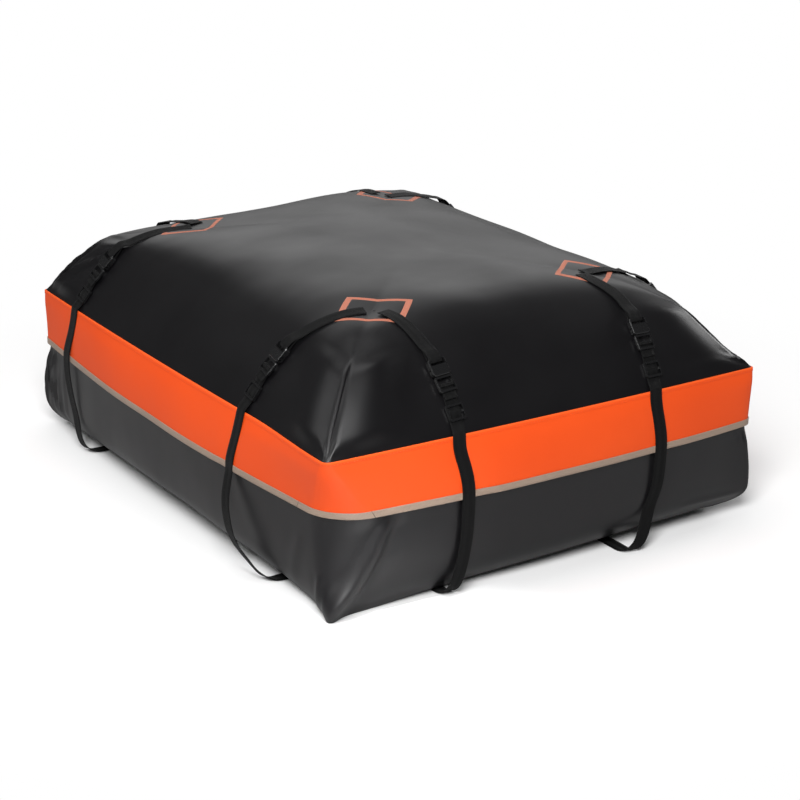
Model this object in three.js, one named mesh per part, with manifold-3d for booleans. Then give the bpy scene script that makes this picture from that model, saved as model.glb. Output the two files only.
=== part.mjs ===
// A soft cargo bag for a car roof: a padded tarpaulin tub and domed lid, closed by a zip
// under a wide storm flap, and lashed by eight webbing straps with side-release buckles.
// Millimetres, +Z up. X runs across the short side and Y along the long one.
// The origin is the middle of the underside. The front is at -Y and the left at -X.
import * as THREE from 'three';
import { mergeVertices } from 'three/addons/utils/BufferGeometryUtils.js';
import Module from 'manifold-3d';

const wasm = await Module();
wasm.setup();

// Driving dimensions of the bag
const BAG_WIDTH = 860;
const BAG_LENGTH = 1080;
const WALL_HEIGHT = 276;
const LID_RISE = 172;
const FLAP_HEIGHT = 106;
const FLAP_THICKNESS = 2;
const TAPE_WIDTH = 12;
const TAPE_THICKNESS = 1.2;
const BULGE_LONG_SIDE = 28;
const BULGE_SHORT_SIDE = 24;
const CORNER_RADIUS = 36;
const CORNER_RADIUS_AT_RIM = 10;
const CORNER_RADIUS_AT_BASE = 14;
const CORNER_POWER = 1.5;
const BASE_EDGE_INSET = 20;
const BASE_EDGE_HEIGHT = 40;
const BASE_EDGE_POWER = 2.5;
const GAP = 0.3;

// Driving dimensions of the lid
const SLOPE_AT_CORNERS = 1.27;
const SHOULDER_INSET = 92;
const SHOULDER_RISE = 117;
const SHOULDER_BLEND = 14;
const SHOULDER_POWER = 2.2;
const MID_RISE = 158;
const MID_REACH = 250;
const MID_POWER = 3.2;
const HIP_RADIUS = 4;
const CROWN_CORNER_RADIUS = 60;
const CROWN_POWER = 1.5;
const CROWN_FLAT = 33;
const HIP_SHARPNESS = 4;

// Driving dimensions of the zip
const ZIP_TAPE_WIDTH = 28;
const ZIP_TAPE_THICKNESS = 0.8;
const COIL_WIDTH = 6;
const COIL_THICKNESS = 1.8;
const SLIDER_LENGTH = 14;
const SLIDER_WALL = 1.4;
const PULL_LENGTH = 34;
const PULL_WIDTH = 9;
const PULL_THICKNESS = 1.6;
const PULL_PIN_RADIUS = 1.5;
const PULL_TIP_CLEARANCE = 2;
const ZIP_ROOM = 11;
const ZIP_ROOM_RUN = 16;
const ZIP_BACK_RUN = 100;

// Driving dimensions of the anchor patches
const PATCH_INSET_X = 212;
const PATCH_INSET_Y = 217;
const PATCH_SIDE = 118;
const BORDER_WIDTH = 13;
const BORDER_THICKNESS = 2.4;
const PAD_THICKNESS = 1.6;

// Driving dimensions of the webbing and its hardware
const WEBBING_WIDTH = 25;
const WEBBING_THICKNESS = 1.6;
const HOUSING_LENGTH = 30;
const HOUSING_WIDTH = 34;
const HOUSING_THICKNESS = 11;
const PLUG_LENGTH = 29;
const PLUG_THICKNESS = 5.5;
const GLIDE_LENGTH = 28;
const GLIDE_RAIL = 2.6;
const GLIDE_BAR = 4;
const BAR_RADIUS = 2;
const SLOT_CLEARANCE = 1.2;
const BUCKLE_INSET = 52;
const GLIDE_INSET = 15;
const SEWN_LENGTH_UNDER_BASE = 110;
const WEBBING_STEP = 18;
const FLOOR_CLEAR = GAP + WEBBING_THICKNESS / 2;

const FLAP_BOTTOM = WALL_HEIGHT - FLAP_HEIGHT;
const ZIP_HEIGHT = FLAP_BOTTOM + ZIP_ROOM_RUN + PULL_LENGTH + PULL_TIP_CLEARANCE;
const ZIP_LOW = ZIP_HEIGHT - ZIP_TAPE_WIDTH / 2;
const ZIP_HIGH = ZIP_HEIGHT + ZIP_TAPE_WIDTH / 2;
const HALF_WIDTH = BAG_WIDTH / 2;
const HALF_LENGTH = BAG_LENGTH / 2;
const QUARTER_TURN = Math.PI / 2;

// Colours of the real materials
const TARPAULIN = { color: 0x2c2b2d, roughness: 0.42, metalness: 0 };
const TARPAULIN_LID = { color: 0x1e1c1e, roughness: 0.38, metalness: 0 };
const ORANGE = { color: 0xf8602f, roughness: 0.5, metalness: 0 };
const REFLECTIVE = { color: 0xafa193, roughness: 0.4, metalness: 0 };
const PIPING_ORANGE = { color: 0xe69070, roughness: 0.6, metalness: 0 };
const WEBBING = { color: 0x1b1b1c, roughness: 0.8, metalness: 0 };
const ACETAL = { color: 0x1d1d1f, roughness: 0.35, metalness: 0 };
const ZIP_BLACK = { color: 0x171718, roughness: 0.7, metalness: 0 };
const ZINC = { color: 0x3a3a3c, roughness: 0.35, metalness: 0.9 };

const object = new THREE.Group();
object.name = 'roof_cargo_bag';

function addPart(name, geometry, material) {
  const mesh = new THREE.Mesh(geometry, new THREE.MeshStandardMaterial(material));
  mesh.name = name;
  object.add(mesh);
  return mesh;
}

// Small maths helpers
function mix(a, b, t) {
  return a + (b - a) * t;
}

function smooth(t) {
  const c = Math.min(1, Math.max(0, t));
  return c * c * (3 - 2 * c);
}

// Values from `start` to `end`. They crowd towards the start if the power is more than 1.
function spaced(start, end, count, power = 1) {
  return Array.from({ length: count + 1 }, (_, i) => mix(start, end, (i / count) ** power));
}

function softMin(a, b, blend) {
  const h = Math.max(blend - Math.abs(a - b), 0) / blend;
  return Math.min(a, b) - h * h * blend / 4;
}

// Closed solids from rows of points
// Each row is a closed loop of points. Rows follow each other along the solid. The ends are
// closed by fans from their middle points, or the last row joins the first one. Twisted
// four-sided faces are split along one diagonal, and along the other from `turnedFrom` on.
function solidFromRows(rows, joined = false, turnedFrom = Infinity) {
  const loop = rows[0].length;
  const points = rows.flat();
  const faces = [];
  const last = joined ? rows.length : rows.length - 1;
  for (let i = 0; i < last; i += 1) {
    const here = i * loop;
    const next = ((i + 1) % rows.length) * loop;
    for (let j = 0; j < loop; j += 1) {
      const k = (j + 1) % loop;
      if (j < turnedFrom) {
        faces.push([here + j, next + j, next + k]);
        faces.push([here + j, next + k, here + k]);
      } else {
        faces.push([here + j, next + j, here + k]);
        faces.push([here + k, next + j, next + k]);
      }
    }
  }
  if (!joined) {
    const ends = [
      [0, 1],
      [rows.length - 1, -1],
    ];
    for (const [row, side] of ends) {
      const centre = new THREE.Vector3();
      rows[row].forEach((p) => centre.add(p));
      centre.divideScalar(loop);
      const apex = points.push(centre) - 1;
      for (let j = 0; j < loop; j += 1) {
        const a = row * loop + j;
        const b = row * loop + (j + 1) % loop;
        faces.push(side > 0 ? [apex, a, b] : [apex, b, a]);
      }
    }
  }
  return geometryFacingOut(points, faces);
}

function geometryFacingOut(points, faces) {
  const corner = new THREE.Vector3();
  const volume = faces.reduce((sum, [a, b, c]) => {
    corner.crossVectors(points[b], points[c]);
    return sum + points[a].dot(corner);
  }, 0);
  const order = volume > 0 ? faces : faces.map(([a, b, c]) => [a, c, b]);
  const geometry = new THREE.BufferGeometry();
  const places = points.flatMap((point) => point.toArray());
  geometry.setAttribute('position', new THREE.Float32BufferAttribute(places, 3));
  geometry.setIndex(order.flat());
  return geometry;
}

// Joining and cutting of closed solids
const SAME_PLACE = 1e-4;

function toSolid(geometry) {
  const bare = geometry.clone();
  bare.deleteAttribute('normal');
  bare.deleteAttribute('uv');
  const merged = mergeVertices(bare, SAME_PLACE);
  const mesh = new wasm.Mesh({
    numProp: 3,
    vertProperties: new Float32Array(merged.attributes.position.array),
    triVerts: new Uint32Array(merged.index.array),
  });
  return new wasm.Manifold(mesh);
}

function toGeometry(solid) {
  const mesh = solid.getMesh();
  const geometry = new THREE.BufferGeometry();
  geometry.setAttribute('position', new THREE.BufferAttribute(mesh.vertProperties, 3));
  geometry.setIndex(new THREE.BufferAttribute(mesh.triVerts, 1));
  return geometry;
}

function block(sizeX, sizeY, sizeZ, x, y, z) {
  const geometry = new THREE.BoxGeometry(sizeX, sizeY, sizeZ);
  geometry.translate(x, y, z);
  return toSolid(geometry);
}

// The rounded rectangle seen from above, with the same points at every height
const SHORT_SIDE_STEPS = 8;
const LONG_SIDE_STEPS = 10;
const CORNER_STEPS = 4;

function roundedRing(halfX, halfY, radius) {
  const points = [];
  const corners = [
    [1, -1],
    [1, 1],
    [-1, 1],
    [-1, -1],
  ];
  corners.forEach(([signX, signY], index) => {
    const start = (index - 1) * QUARTER_TURN;
    const centreX = signX * (halfX - radius);
    const centreY = signY * (halfY - radius);
    for (let k = 0; k <= CORNER_STEPS; k += 1) {
      const angle = start + QUARTER_TURN * k / CORNER_STEPS;
      points.push([centreX + radius * Math.cos(angle), centreY + radius * Math.sin(angle)]);
    }
    const steps = index % 2 === 0 ? LONG_SIDE_STEPS : SHORT_SIDE_STEPS;
    const from = points[points.length - 1];
    const [nextX, nextY] = corners[(index + 1) % corners.length];
    const nextAngle = start + QUARTER_TURN;
    const to = [
      nextX * (halfX - radius) + radius * Math.cos(nextAngle),
      nextY * (halfY - radius) + radius * Math.sin(nextAngle),
    ];
    for (let k = 1; k < steps; k += 1) {
      points.push([mix(from[0], to[0], k / steps), mix(from[1], to[1], k / steps)]);
    }
  });
  return points;
}

// Fabric that is filled from inside bulges between the corners
const BULGE_POWER = 3;

function bulged([x, y], halfX, halfY, share) {
  const outX = Math.sign(x) * Math.abs(x / halfX) ** BULGE_POWER * (1 - (y / halfY) ** 2);
  const outY = Math.sign(y) * Math.abs(y / halfY) ** BULGE_POWER * (1 - (x / halfX) ** 2);
  return [x + outX * BULGE_LONG_SIDE * share, y + outY * BULGE_SHORT_SIDE * share];
}

// The wall: widest at the foot of the flap, drawn in at the rim and at the base
const FADE_ABOVE = 1.2;
const FADE_BELOW = 1.12;
const BULGE_SPREAD_ABOVE = FADE_ABOVE * FLAP_HEIGHT;
const BULGE_SPREAD_BELOW = FADE_BELOW * FLAP_BOTTOM;

function bulgeShare(z) {
  if (z > FLAP_BOTTOM) {
    return 1 - ((z - FLAP_BOTTOM) / BULGE_SPREAD_ABOVE) ** 2;
  }
  return 1 - ((FLAP_BOTTOM - z) / BULGE_SPREAD_BELOW) ** BULGE_POWER;
}

function cornerRadius(z) {
  if (z > FLAP_BOTTOM) {
    return mix(CORNER_RADIUS, CORNER_RADIUS_AT_RIM, (z - FLAP_BOTTOM) / FLAP_HEIGHT);
  }
  const below = ((FLAP_BOTTOM - z) / FLAP_BOTTOM) ** CORNER_POWER;
  return mix(CORNER_RADIUS, CORNER_RADIUS_AT_BASE, below);
}

function baseInset(z) {
  const left = Math.max(0, 1 - z / BASE_EDGE_HEIGHT);
  return BASE_EDGE_INSET * left ** BASE_EDGE_POWER;
}

// A ring of the outer face at height z, moved out by `out`
function wallRing(z, out) {
  const halfX = HALF_WIDTH - baseInset(z) + out;
  const halfY = HALF_LENGTH - baseInset(z) + out;
  const radius = Math.max(HIP_RADIUS, cornerRadius(z) + out);
  return roundedRing(halfX, halfY, radius).map((p) => {
    const [x, y] = bulged(p, halfX, halfY, bulgeShare(z));
    return new THREE.Vector3(x, y, z);
  });
}

// How far the shell lies inside the outer face of the flap
const SHELL_INSET = 2;
const SHELL_INSET_AT_FLAP = 5;
const SHELL_NARROW_START = FLAP_BOTTOM / 2;

function shellInset(z) {
  if (z <= FLAP_BOTTOM) {
    const t = (z - SHELL_NARROW_START) / (FLAP_BOTTOM - SHELL_NARROW_START);
    return mix(SHELL_INSET, SHELL_INSET_AT_FLAP, smooth(t));
  }
  if (z <= ZIP_HIGH) {
    const t = (z - FLAP_BOTTOM) / ZIP_ROOM_RUN;
    return mix(SHELL_INSET_AT_FLAP, FLAP_THICKNESS + ZIP_ROOM, smooth(t));
  }
  const t = (WALL_HEIGHT - z) / (WALL_HEIGHT - ZIP_HIGH);
  return FLAP_THICKNESS + mix(GAP, ZIP_ROOM, smooth(t));
}

// The lid's height over its rim, at an inset from the rim. The hips over the corners run
// straight to a shoulder, and the middles of the sides are rounder.
const LID_INNER = HALF_WIDTH - FLAP_THICKNESS - GAP;

function riseAtHip(inset) {
  const straight = SLOPE_AT_CORNERS * inset;
  const left = (LID_INNER - inset) / (LID_INNER - SHOULDER_INSET);
  const top = LID_RISE - (LID_RISE - SHOULDER_RISE) * left ** SHOULDER_POWER;
  return softMin(straight, top, SHOULDER_BLEND);
}

function riseAtMiddle(inset) {
  const foot = 1 - (1 - Math.min(1, inset / MID_REACH)) ** MID_POWER;
  return MID_RISE * foot + (LID_RISE - MID_RISE) * (inset / LID_INNER) ** CROWN_POWER;
}

function lidRing(inset, raised = 0) {
  const halfX = LID_INNER - inset;
  const halfY = halfX + HALF_LENGTH - HALF_WIDTH;
  const atRim = cornerRadius(WALL_HEIGHT) - FLAP_THICKNESS - GAP;
  const hip = mix(atRim, HIP_RADIUS, smooth(inset / SHOULDER_INSET));
  const grow = smooth((inset - SHOULDER_INSET) / SHOULDER_INSET);
  const crown = Math.min(CROWN_CORNER_RADIUS, halfX / 2);
  const radius = mix(hip, crown, grow);
  const share = bulgeShare(WALL_HEIGHT) * Math.max(0, 1 - inset / SHOULDER_INSET);
  return roundedRing(halfX, halfY, radius).map((p) => {
    const along = Math.min(Math.abs(p[0] / halfX), Math.abs(p[1] / halfY));
    const rise = mix(riseAtHip(inset), riseAtMiddle(inset), 1 - along ** HIP_SHARPNESS);
    const [x, y] = bulged(p, halfX, halfY, share);
    return new THREE.Vector3(x, y, WALL_HEIGHT + rise + raised);
  });
}

const LID_STEPS = 13;
const LID_CROWDING = 1.5;
const SKIRT_STEPS = 3;
const LID_INSETS = spaced(0, LID_INNER - CROWN_FLAT, LID_STEPS, LID_CROWDING);
const SKIRT_HEIGHTS = [ZIP_HEIGHT + GAP, ...spaced(ZIP_HIGH, WALL_HEIGHT, SKIRT_STEPS).slice(0, -1)];

function lidGeometry(raised = 0) {
  const skirt = SKIRT_HEIGHTS.map((z) => wallRing(z, -shellInset(z)));
  const top = LID_INSETS.map((inset) => lidRing(inset, raised));
  return solidFromRows([...skirt, ...top]);
}

// Where a strap or a patch lies on the lid
const lidForSeating = new THREE.Mesh(lidGeometry(), new THREE.MeshBasicMaterial());
lidForSeating.updateMatrixWorld();

function lidHeight(x, y) {
  const above = new THREE.Vector3(x, y, WALL_HEIGHT + 2 * LID_RISE);
  const ray = new THREE.Raycaster(above, new THREE.Vector3(0, 0, -1));
  const hits = ray.intersectObject(lidForSeating);
  return hits.length ? hits[0].point.z : WALL_HEIGHT;
}

// Sides of the bag: `along` runs parallel to the side, `out` points away from the bag
const AXIS_X = new THREE.Vector3(1, 0, 0);
const AXIS_Y = new THREE.Vector3(0, 1, 0);
const SIDES = {
  front: { along: AXIS_X, out: AXIS_Y.clone().negate(), half: HALF_LENGTH },
  back: { along: AXIS_X, out: AXIS_Y, half: HALF_LENGTH },
  left: { along: AXIS_Y, out: AXIS_X.clone().negate(), half: HALF_WIDTH },
  right: { along: AXIS_Y, out: AXIS_X, half: HALF_WIDTH },
};

function place(side, along, out, z) {
  const { along: a, out: o, half } = SIDES[side];
  const point = new THREE.Vector3();
  point.addScaledVector(a, along);
  point.addScaledVector(o, half + out);
  point.z = z;
  return point;
}

const SLOPE_STEP = 4;

function onLid(side, along, inset, clear) {
  const flat = place(side, along, -inset, 0);
  const height = lidHeight(flat.x, flat.y);
  const further = place(side, along, -inset - SLOPE_STEP, 0);
  const slope = (lidHeight(further.x, further.y) - height) / SLOPE_STEP;
  const length = Math.hypot(1, slope);
  return place(side, along, -inset + clear * slope / length, height + clear / length);
}

function onWall(side, along, z, clear) {
  const longSide = side === 'left' || side === 'right';
  const halfAlong = longSide ? HALF_LENGTH : HALF_WIDTH;
  const bulge = longSide ? BULGE_LONG_SIDE : BULGE_SHORT_SIDE;
  const out = bulge * bulgeShare(z) * (1 - (along / halfAlong) ** 2);
  return place(side, along, out - baseInset(z) + clear, z);
}

// The same, clear of the lid under the whole width of the webbing
function overLid(side, along, inset, clear) {
  const edges = [-WEBBING_WIDTH / 2, 0, WEBBING_WIDTH / 2];
  const points = edges.map((edge) => onLid(side, along + edge, inset, clear));
  const middle = points[1];
  middle.z = Math.max(...points.map((point) => point.z));
  return middle;
}

// Webbing: a flat strip whose width stays parallel to the side of the bag. It runs smoothly
// between the given points, and it never sinks into the floor. `acrossAt` gives the direction of
// its width at each point.
function webbing(points, acrossAt) {
  const curve = new THREE.CatmullRomCurve3(points, false, 'centripetal');
  const spans = points.length - 1;
  const places = [0];
  for (let i = 0; i < spans; i += 1) {
    const steps = Math.max(1, Math.round(points[i].distanceTo(points[i + 1]) / WEBBING_STEP));
    for (let k = 1; k <= steps; k += 1) {
      places.push((i + k / steps) / spans);
    }
  }
  const rows = [];
  for (const at of places) {
    const centre = curve.getPoint(at);
    centre.z = Math.max(centre.z, FLOOR_CLEAR);
    const tangent = curve.getTangent(at);
    const span = Math.min(spans - 1, Math.floor(at * spans));
    const across = acrossAt[span].clone().lerp(acrossAt[span + 1], at * spans - span);
    const width = across.clone().addScaledVector(tangent, -tangent.dot(across)).normalize();
    const normal = new THREE.Vector3().crossVectors(tangent, width);
    const corners = [
      [-1, -1],
      [1, -1],
      [1, 1],
      [-1, 1],
    ];
    rows.push(corners.map(([u, v]) => {
      const corner = centre.clone();
      corner.addScaledVector(width, u * WEBBING_WIDTH / 2);
      corner.addScaledVector(normal, v * WEBBING_THICKNESS / 2);
      corner.z = Math.max(corner.z, GAP);
      return corner;
    }));
  }
  return solidFromRows(rows);
}

// A local frame on the lid's slope: x across, y up the slope, z away from the bag
function slopeFrame(side, middle, reach, alongAt) {
  const high = onLid(side, alongAt(middle + reach), middle + reach, 0);
  const low = onLid(side, alongAt(middle - reach), middle - reach, 0);
  const up = high.clone().sub(low).normalize();
  const across = SIDES[side].along.clone();
  across.addScaledVector(up, -across.dot(up)).normalize();
  const normal = new THREE.Vector3().crossVectors(across, up);
  if (normal.z < 0) {
    normal.negate();
    across.negate();
  }
  const origin = onLid(side, alongAt(middle), middle, 0);
  const frame = { origin, across, up, normal };
  frame.at = (x, y, z) => origin.clone()
    .addScaledVector(across, x)
    .addScaledVector(up, y)
    .addScaledVector(normal, z);
  return frame;
}

// Lifts the frame until a flat plate on it clears the lid
function liftFrame(frame, halfWidth, from, to, clear) {
  let lift = -Infinity;
  for (const x of [-halfWidth, 0, halfWidth]) {
    for (let y = from; y <= to; y += SLOPE_STEP) {
      const p = frame.at(x, y, 0);
      const above = (lidHeight(p.x, p.y) - p.z) * frame.normal.z;
      lift = Math.max(lift, above);
    }
  }
  frame.origin.addScaledVector(frame.normal, lift + clear);
}

function inFrame(geometry, frame) {
  const matrix = new THREE.Matrix4().makeBasis(frame.across, frame.up, frame.normal);
  matrix.setPosition(frame.origin);
  return geometry.applyMatrix4(matrix);
}

// Moulded plate with rounded corners and softened edges, centred on x and y
function plate(width, length, thickness, radius, bevel, y, z) {
  const halfW = width / 2 - bevel;
  const halfL = length / 2 - bevel;
  const shape = new THREE.Shape();
  shape.moveTo(-halfW + radius, -halfL);
  shape.lineTo(halfW - radius, -halfL);
  shape.absarc(halfW - radius, -halfL + radius, radius, -QUARTER_TURN, 0, false);
  shape.absarc(halfW - radius, halfL - radius, radius, 0, QUARTER_TURN, false);
  shape.absarc(-halfW + radius, halfL - radius, radius, QUARTER_TURN, Math.PI, false);
  shape.absarc(-halfW + radius, -halfL + radius, radius, Math.PI, Math.PI + QUARTER_TURN, false);
  const geometry = new THREE.ExtrudeGeometry(shape, {
    depth: thickness - 2 * bevel,
    bevelEnabled: bevel > 0,
    bevelThickness: bevel,
    bevelSize: bevel,
    bevelSegments: 1,
    curveSegments: 2,
  });
  geometry.translate(0, y, z + bevel);
  return toSolid(geometry);
}

const BAR_FACETS = 8;

function bar(length, radius, y, z) {
  const geometry = new THREE.CylinderGeometry(radius, radius, length, BAR_FACETS);
  geometry.rotateZ(QUARTER_TURN);
  geometry.translate(0, y, z);
  return toSolid(geometry);
}

// Buckle housing: a flat socket, open below, with side windows for the plug's barbs and a
// round bar that the upper webbing is sewn around. A cut runs past the face it opens by CUT_PAST,
// and a bar runs into the rails at its ends by ROOTED.
const CUT_PAST = 1;
const ROOTED = 1;
const SLOT_WIDTH = WEBBING_WIDTH + 2 * SLOT_CLEARANCE;
const MID_PLANE = HOUSING_THICKNESS / 2;
const HOUSING_CORNER = 4;
const HOUSING_BEVEL = 1.2;
const HOUSING_END_WALL = 1;
const HOUSING_BAR_Y = HOUSING_LENGTH - BAR_RADIUS - HOUSING_END_WALL;
const HOUSING_SLOT_LENGTH = 6.5;
const SOCKET_DEPTH = 17;
const SOCKET_WIDTH = 25;
const SOCKET_HEIGHT = PLUG_THICKNESS + 2 * GAP;
const WINDOW_LENGTH = 9;
const WINDOW_Y = 9;

function housingSolid() {
  const size = [HOUSING_WIDTH, HOUSING_LENGTH, HOUSING_THICKNESS];
  const body = plate(...size, HOUSING_CORNER, HOUSING_BEVEL, HOUSING_LENGTH / 2, 0);
  const slotStart = HOUSING_BAR_Y - BAR_RADIUS - HOUSING_SLOT_LENGTH;
  const slotLength = HOUSING_LENGTH - slotStart + CUT_PAST;
  const slotMiddle = slotStart + slotLength / 2;
  const slot = block(SLOT_WIDTH, slotLength, HOUSING_THICKNESS + 2 * CUT_PAST, 0, slotMiddle, MID_PLANE);
  const socketMiddle = (SOCKET_DEPTH - CUT_PAST) / 2;
  const socket = block(SOCKET_WIDTH, SOCKET_DEPTH + CUT_PAST, SOCKET_HEIGHT, 0, socketMiddle, MID_PLANE);
  const windows = block(HOUSING_WIDTH + 2 * CUT_PAST, WINDOW_LENGTH, SOCKET_HEIGHT, 0, WINDOW_Y, MID_PLANE);
  const rod = bar(SLOT_WIDTH + 2 * ROOTED, BAR_RADIUS, HOUSING_BAR_Y, MID_PLANE);
  return body.subtract(slot).subtract(socket).subtract(windows).add(rod);
}

// Plug: a ladder lock with two webbing slots, a middle guide and two sprung prongs whose barbs
// rest in the side windows
const PLUG_CORNER = 3;
const PLUG_BEVEL = 0.8;
const PRONG_WIDTH = 3.2;
const PRONG_LENGTH = 13;
const PRONG_SHELF = 0.5;
const PRONG_THICKNESS = PLUG_THICKNESS - 2 * PRONG_SHELF;
const BARB_REACH = 3;
const BARB_PLAY = 3;
const BARB_LENGTH = WINDOW_LENGTH - BARB_PLAY;
const BARB_AHEAD = 0.6;
const GUIDE_WIDTH = 5;
const GUIDE_PLAY = 3;
const GUIDE_LENGTH = SOCKET_DEPTH - GUIDE_PLAY;
const GUIDE_SHELF = 1;
const GUIDE_THICKNESS = PLUG_THICKNESS - 2 * GUIDE_SHELF;
const LADDER_SLOT_END = -4.5;
const LADDER_MIDDLE_BAR_Y = -17;
const LADDER_END_WALL = 0.6;
const LADDER_OUTER_BAR_Y = BAR_RADIUS + LADDER_END_WALL - PLUG_LENGTH;
const OUTER_BAR_RISE = 0.2;

function plugSolid() {
  const length = PLUG_LENGTH - GAP;
  const low = MID_PLANE - PLUG_THICKNESS / 2;
  const body = plate(HOUSING_WIDTH, length, PLUG_THICKNESS, PLUG_CORNER, PLUG_BEVEL, -GAP - length / 2, low);
  const slotLength = PLUG_LENGTH + LADDER_SLOT_END + CUT_PAST;
  const slotMiddle = LADDER_SLOT_END - slotLength / 2;
  const slots = block(SLOT_WIDTH, slotLength, PLUG_THICKNESS + 2 * CUT_PAST, 0, slotMiddle, MID_PLANE);
  const barLength = SLOT_WIDTH + 2 * ROOTED;
  const middleBar = bar(barLength, BAR_RADIUS, LADDER_MIDDLE_BAR_Y, MID_PLANE);
  const outerHeight = PLUG_THICKNESS / 2 - OUTER_BAR_RISE;
  const outerZ = MID_PLANE + OUTER_BAR_RISE + outerHeight / 2;
  const outerBar = block(barLength, GLIDE_BAR, outerHeight, 0, LADDER_OUTER_BAR_Y, outerZ);
  const guideY = GUIDE_LENGTH / 2 - GAP - ROOTED;
  const guide = block(GUIDE_WIDTH, GUIDE_LENGTH, GUIDE_THICKNESS, 0, guideY, MID_PLANE);
  let solid = body.subtract(slots).add(middleBar).add(outerBar).add(guide);
  const inWindow = SOCKET_WIDTH / 2 - GAP;
  for (const side of [-1, 1]) {
    const prongX = side * (inWindow - PRONG_WIDTH / 2);
    const prongY = PRONG_LENGTH / 2 - GAP - ROOTED / 2;
    const prong = block(PRONG_WIDTH, PRONG_LENGTH + ROOTED, PRONG_THICKNESS, prongX, prongY, MID_PLANE);
    const barbX = side * (inWindow + BARB_REACH / 2 - GAP);
    const barbY = WINDOW_Y + BARB_AHEAD;
    const barb = block(BARB_REACH, BARB_LENGTH, PRONG_THICKNESS, barbX, barbY, MID_PLANE);
    solid = solid.add(prong).add(barb);
  }
  return solid;
}

// Tri-glide: two rails joined by two end bars over the webbing and a middle bar under it
const GLIDE_RISE = 2.4;
const GLIDE_CLEAR = 0.5;
const GLIDE_LOW = -1.2;
const GLIDE_HIGH = 3.8;
const GLIDE_CORNER = 3;

function glideSolid() {
  const width = SLOT_WIDTH + 2 * GLIDE_RAIL;
  const height = GLIDE_HIGH - GLIDE_LOW;
  const body = plate(width, GLIDE_LENGTH, height, GLIDE_CORNER, 0, 0, GLIDE_LOW);
  const openLength = GLIDE_LENGTH + 2 * CUT_PAST;
  const opening = block(SLOT_WIDTH, openLength, height + 2 * CUT_PAST, 0, 0, GLIDE_LOW + height / 2);
  const barLength = SLOT_WIDTH + 2 * ROOTED;
  const middleTop = GLIDE_RISE - WEBBING_THICKNESS / 2 - GLIDE_CLEAR;
  const middleHeight = middleTop - GLIDE_LOW;
  const middle = block(barLength, GLIDE_BAR, middleHeight, 0, 0, GLIDE_LOW + middleHeight / 2);
  const endLow = WEBBING_THICKNESS / 2 + GLIDE_CLEAR;
  const endHeight = GLIDE_HIGH - endLow;
  const endY = GLIDE_LENGTH / 2 - GLIDE_BAR / 2;
  const endZ = endLow + endHeight / 2;
  const ends = [-endY, endY].map((y) => block(barLength, GLIDE_BAR, endHeight, 0, y, endZ));
  return body.subtract(opening).add(middle).add(ends[0]).add(ends[1]);
}

// The eight lashing stations. `end` is the end of the side that the strap is near. Places along the
// side are measured from the middle of its patch: where the strap is sewn on, where it crosses the
// rim, and where it crosses the reflective tape. `drift` is how far its foot slides along the floor,
// `slack` how far it stands off the wall below the tape, and `floor` how far out it meets the floor.
const STATIONS = {
  front_left: { side: 'front', end: -1, sewn: 6, rim: 29, tape: 32, drift: -30, slack: 2, floor: 14 },
  front_right: { side: 'front', end: 1, sewn: -2, rim: -6, tape: -6, drift: -54, slack: 2, floor: 40 },
  left_front: { side: 'left', end: -1, sewn: 5, rim: 61, tape: 61, drift: -80, slack: 20, floor: 6 },
  left_back: { side: 'left', end: 1, sewn: 7, rim: 64, tape: 67, drift: -35, slack: 4, floor: 20 },
  right_front: { side: 'right', end: -1, sewn: -2, rim: 23, tape: 25, drift: -30, slack: 12, floor: 24 },
  right_back: { side: 'right', end: 1, sewn: 2, rim: 22, tape: 22, drift: 30, slack: 6, floor: 20 },
  back_left: { side: 'back', end: -1, sewn: 4, rim: 18, tape: 20, drift: -30, slack: 6, floor: 24 },
  back_right: { side: 'back', end: 1, sewn: -4, rim: -18, tape: -20, drift: 30, slack: 6, floor: 36 },
};

// A station's places along its side, from the middle of the side
function placesAlong({ side, end, sewn, rim, tape, drift }) {
  const longSide = side === 'left' || side === 'right';
  const fromMiddle = longSide ? HALF_LENGTH - PATCH_INSET_Y : HALF_WIDTH - PATCH_INSET_X;
  const patch = end * fromMiddle;
  return { patch: patch + sewn, rim: patch + rim, tape: patch + tape, run: patch + tape + drift };
}

// Base of the bag with shallow seats pressed into it by the webbing
const SEAT_MARGIN = 4;
const SEAT_END_MARGIN = 6;
const SEAT_RUN_OUT = 60;
const SEAT_HEADROOM = 0.5;
const SEAT_DEPTH = WEBBING_THICKNESS + 2 * GAP + SEAT_HEADROOM;

function webbingSeat(station) {
  const { side } = station;
  const { run } = placesAlong(station);
  const half = WEBBING_WIDTH / 2 + SEAT_MARGIN;
  const inner = -SEWN_LENGTH_UNDER_BASE - SEAT_END_MARGIN;
  const rows = [-CUT_PAST, SEAT_DEPTH].map((z) => [
    place(side, run - half, inner, z),
    place(side, run - half, SEAT_RUN_OUT, z),
    place(side, run + half, SEAT_RUN_OUT, z),
    place(side, run + half, inner, z),
  ]);
  return toSolid(solidFromRows(rows));
}

// The upper webbing is sewn down on its patch, lifts off the lid before the buckle, wraps the
// housing's bar and comes back under itself
const WEBBING_START_INSET = 198;
const WEBBING_ON_PATCH = 5.8;
const WEBBING_LIFT = 8;
const LAID_STEPS = 3;
const LAID_STEP = 25;
const WRAP_SLACK = 0.2;
const WRAP_RADIUS = BAR_RADIUS + GAP + WEBBING_THICKNESS / 2 + WRAP_SLACK;
const WRAP_STEP = 40;
const UPPER_WRAP_START = 65;
const UPPER_WRAP_STEPS = 5;
const UPPER_REACH = 22;
const UPPER_TAIL_MIDDLE = 10;
const TAIL_RISE = 1.4;
const TAIL_RISE_MIDDLE = 0.4;

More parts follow.
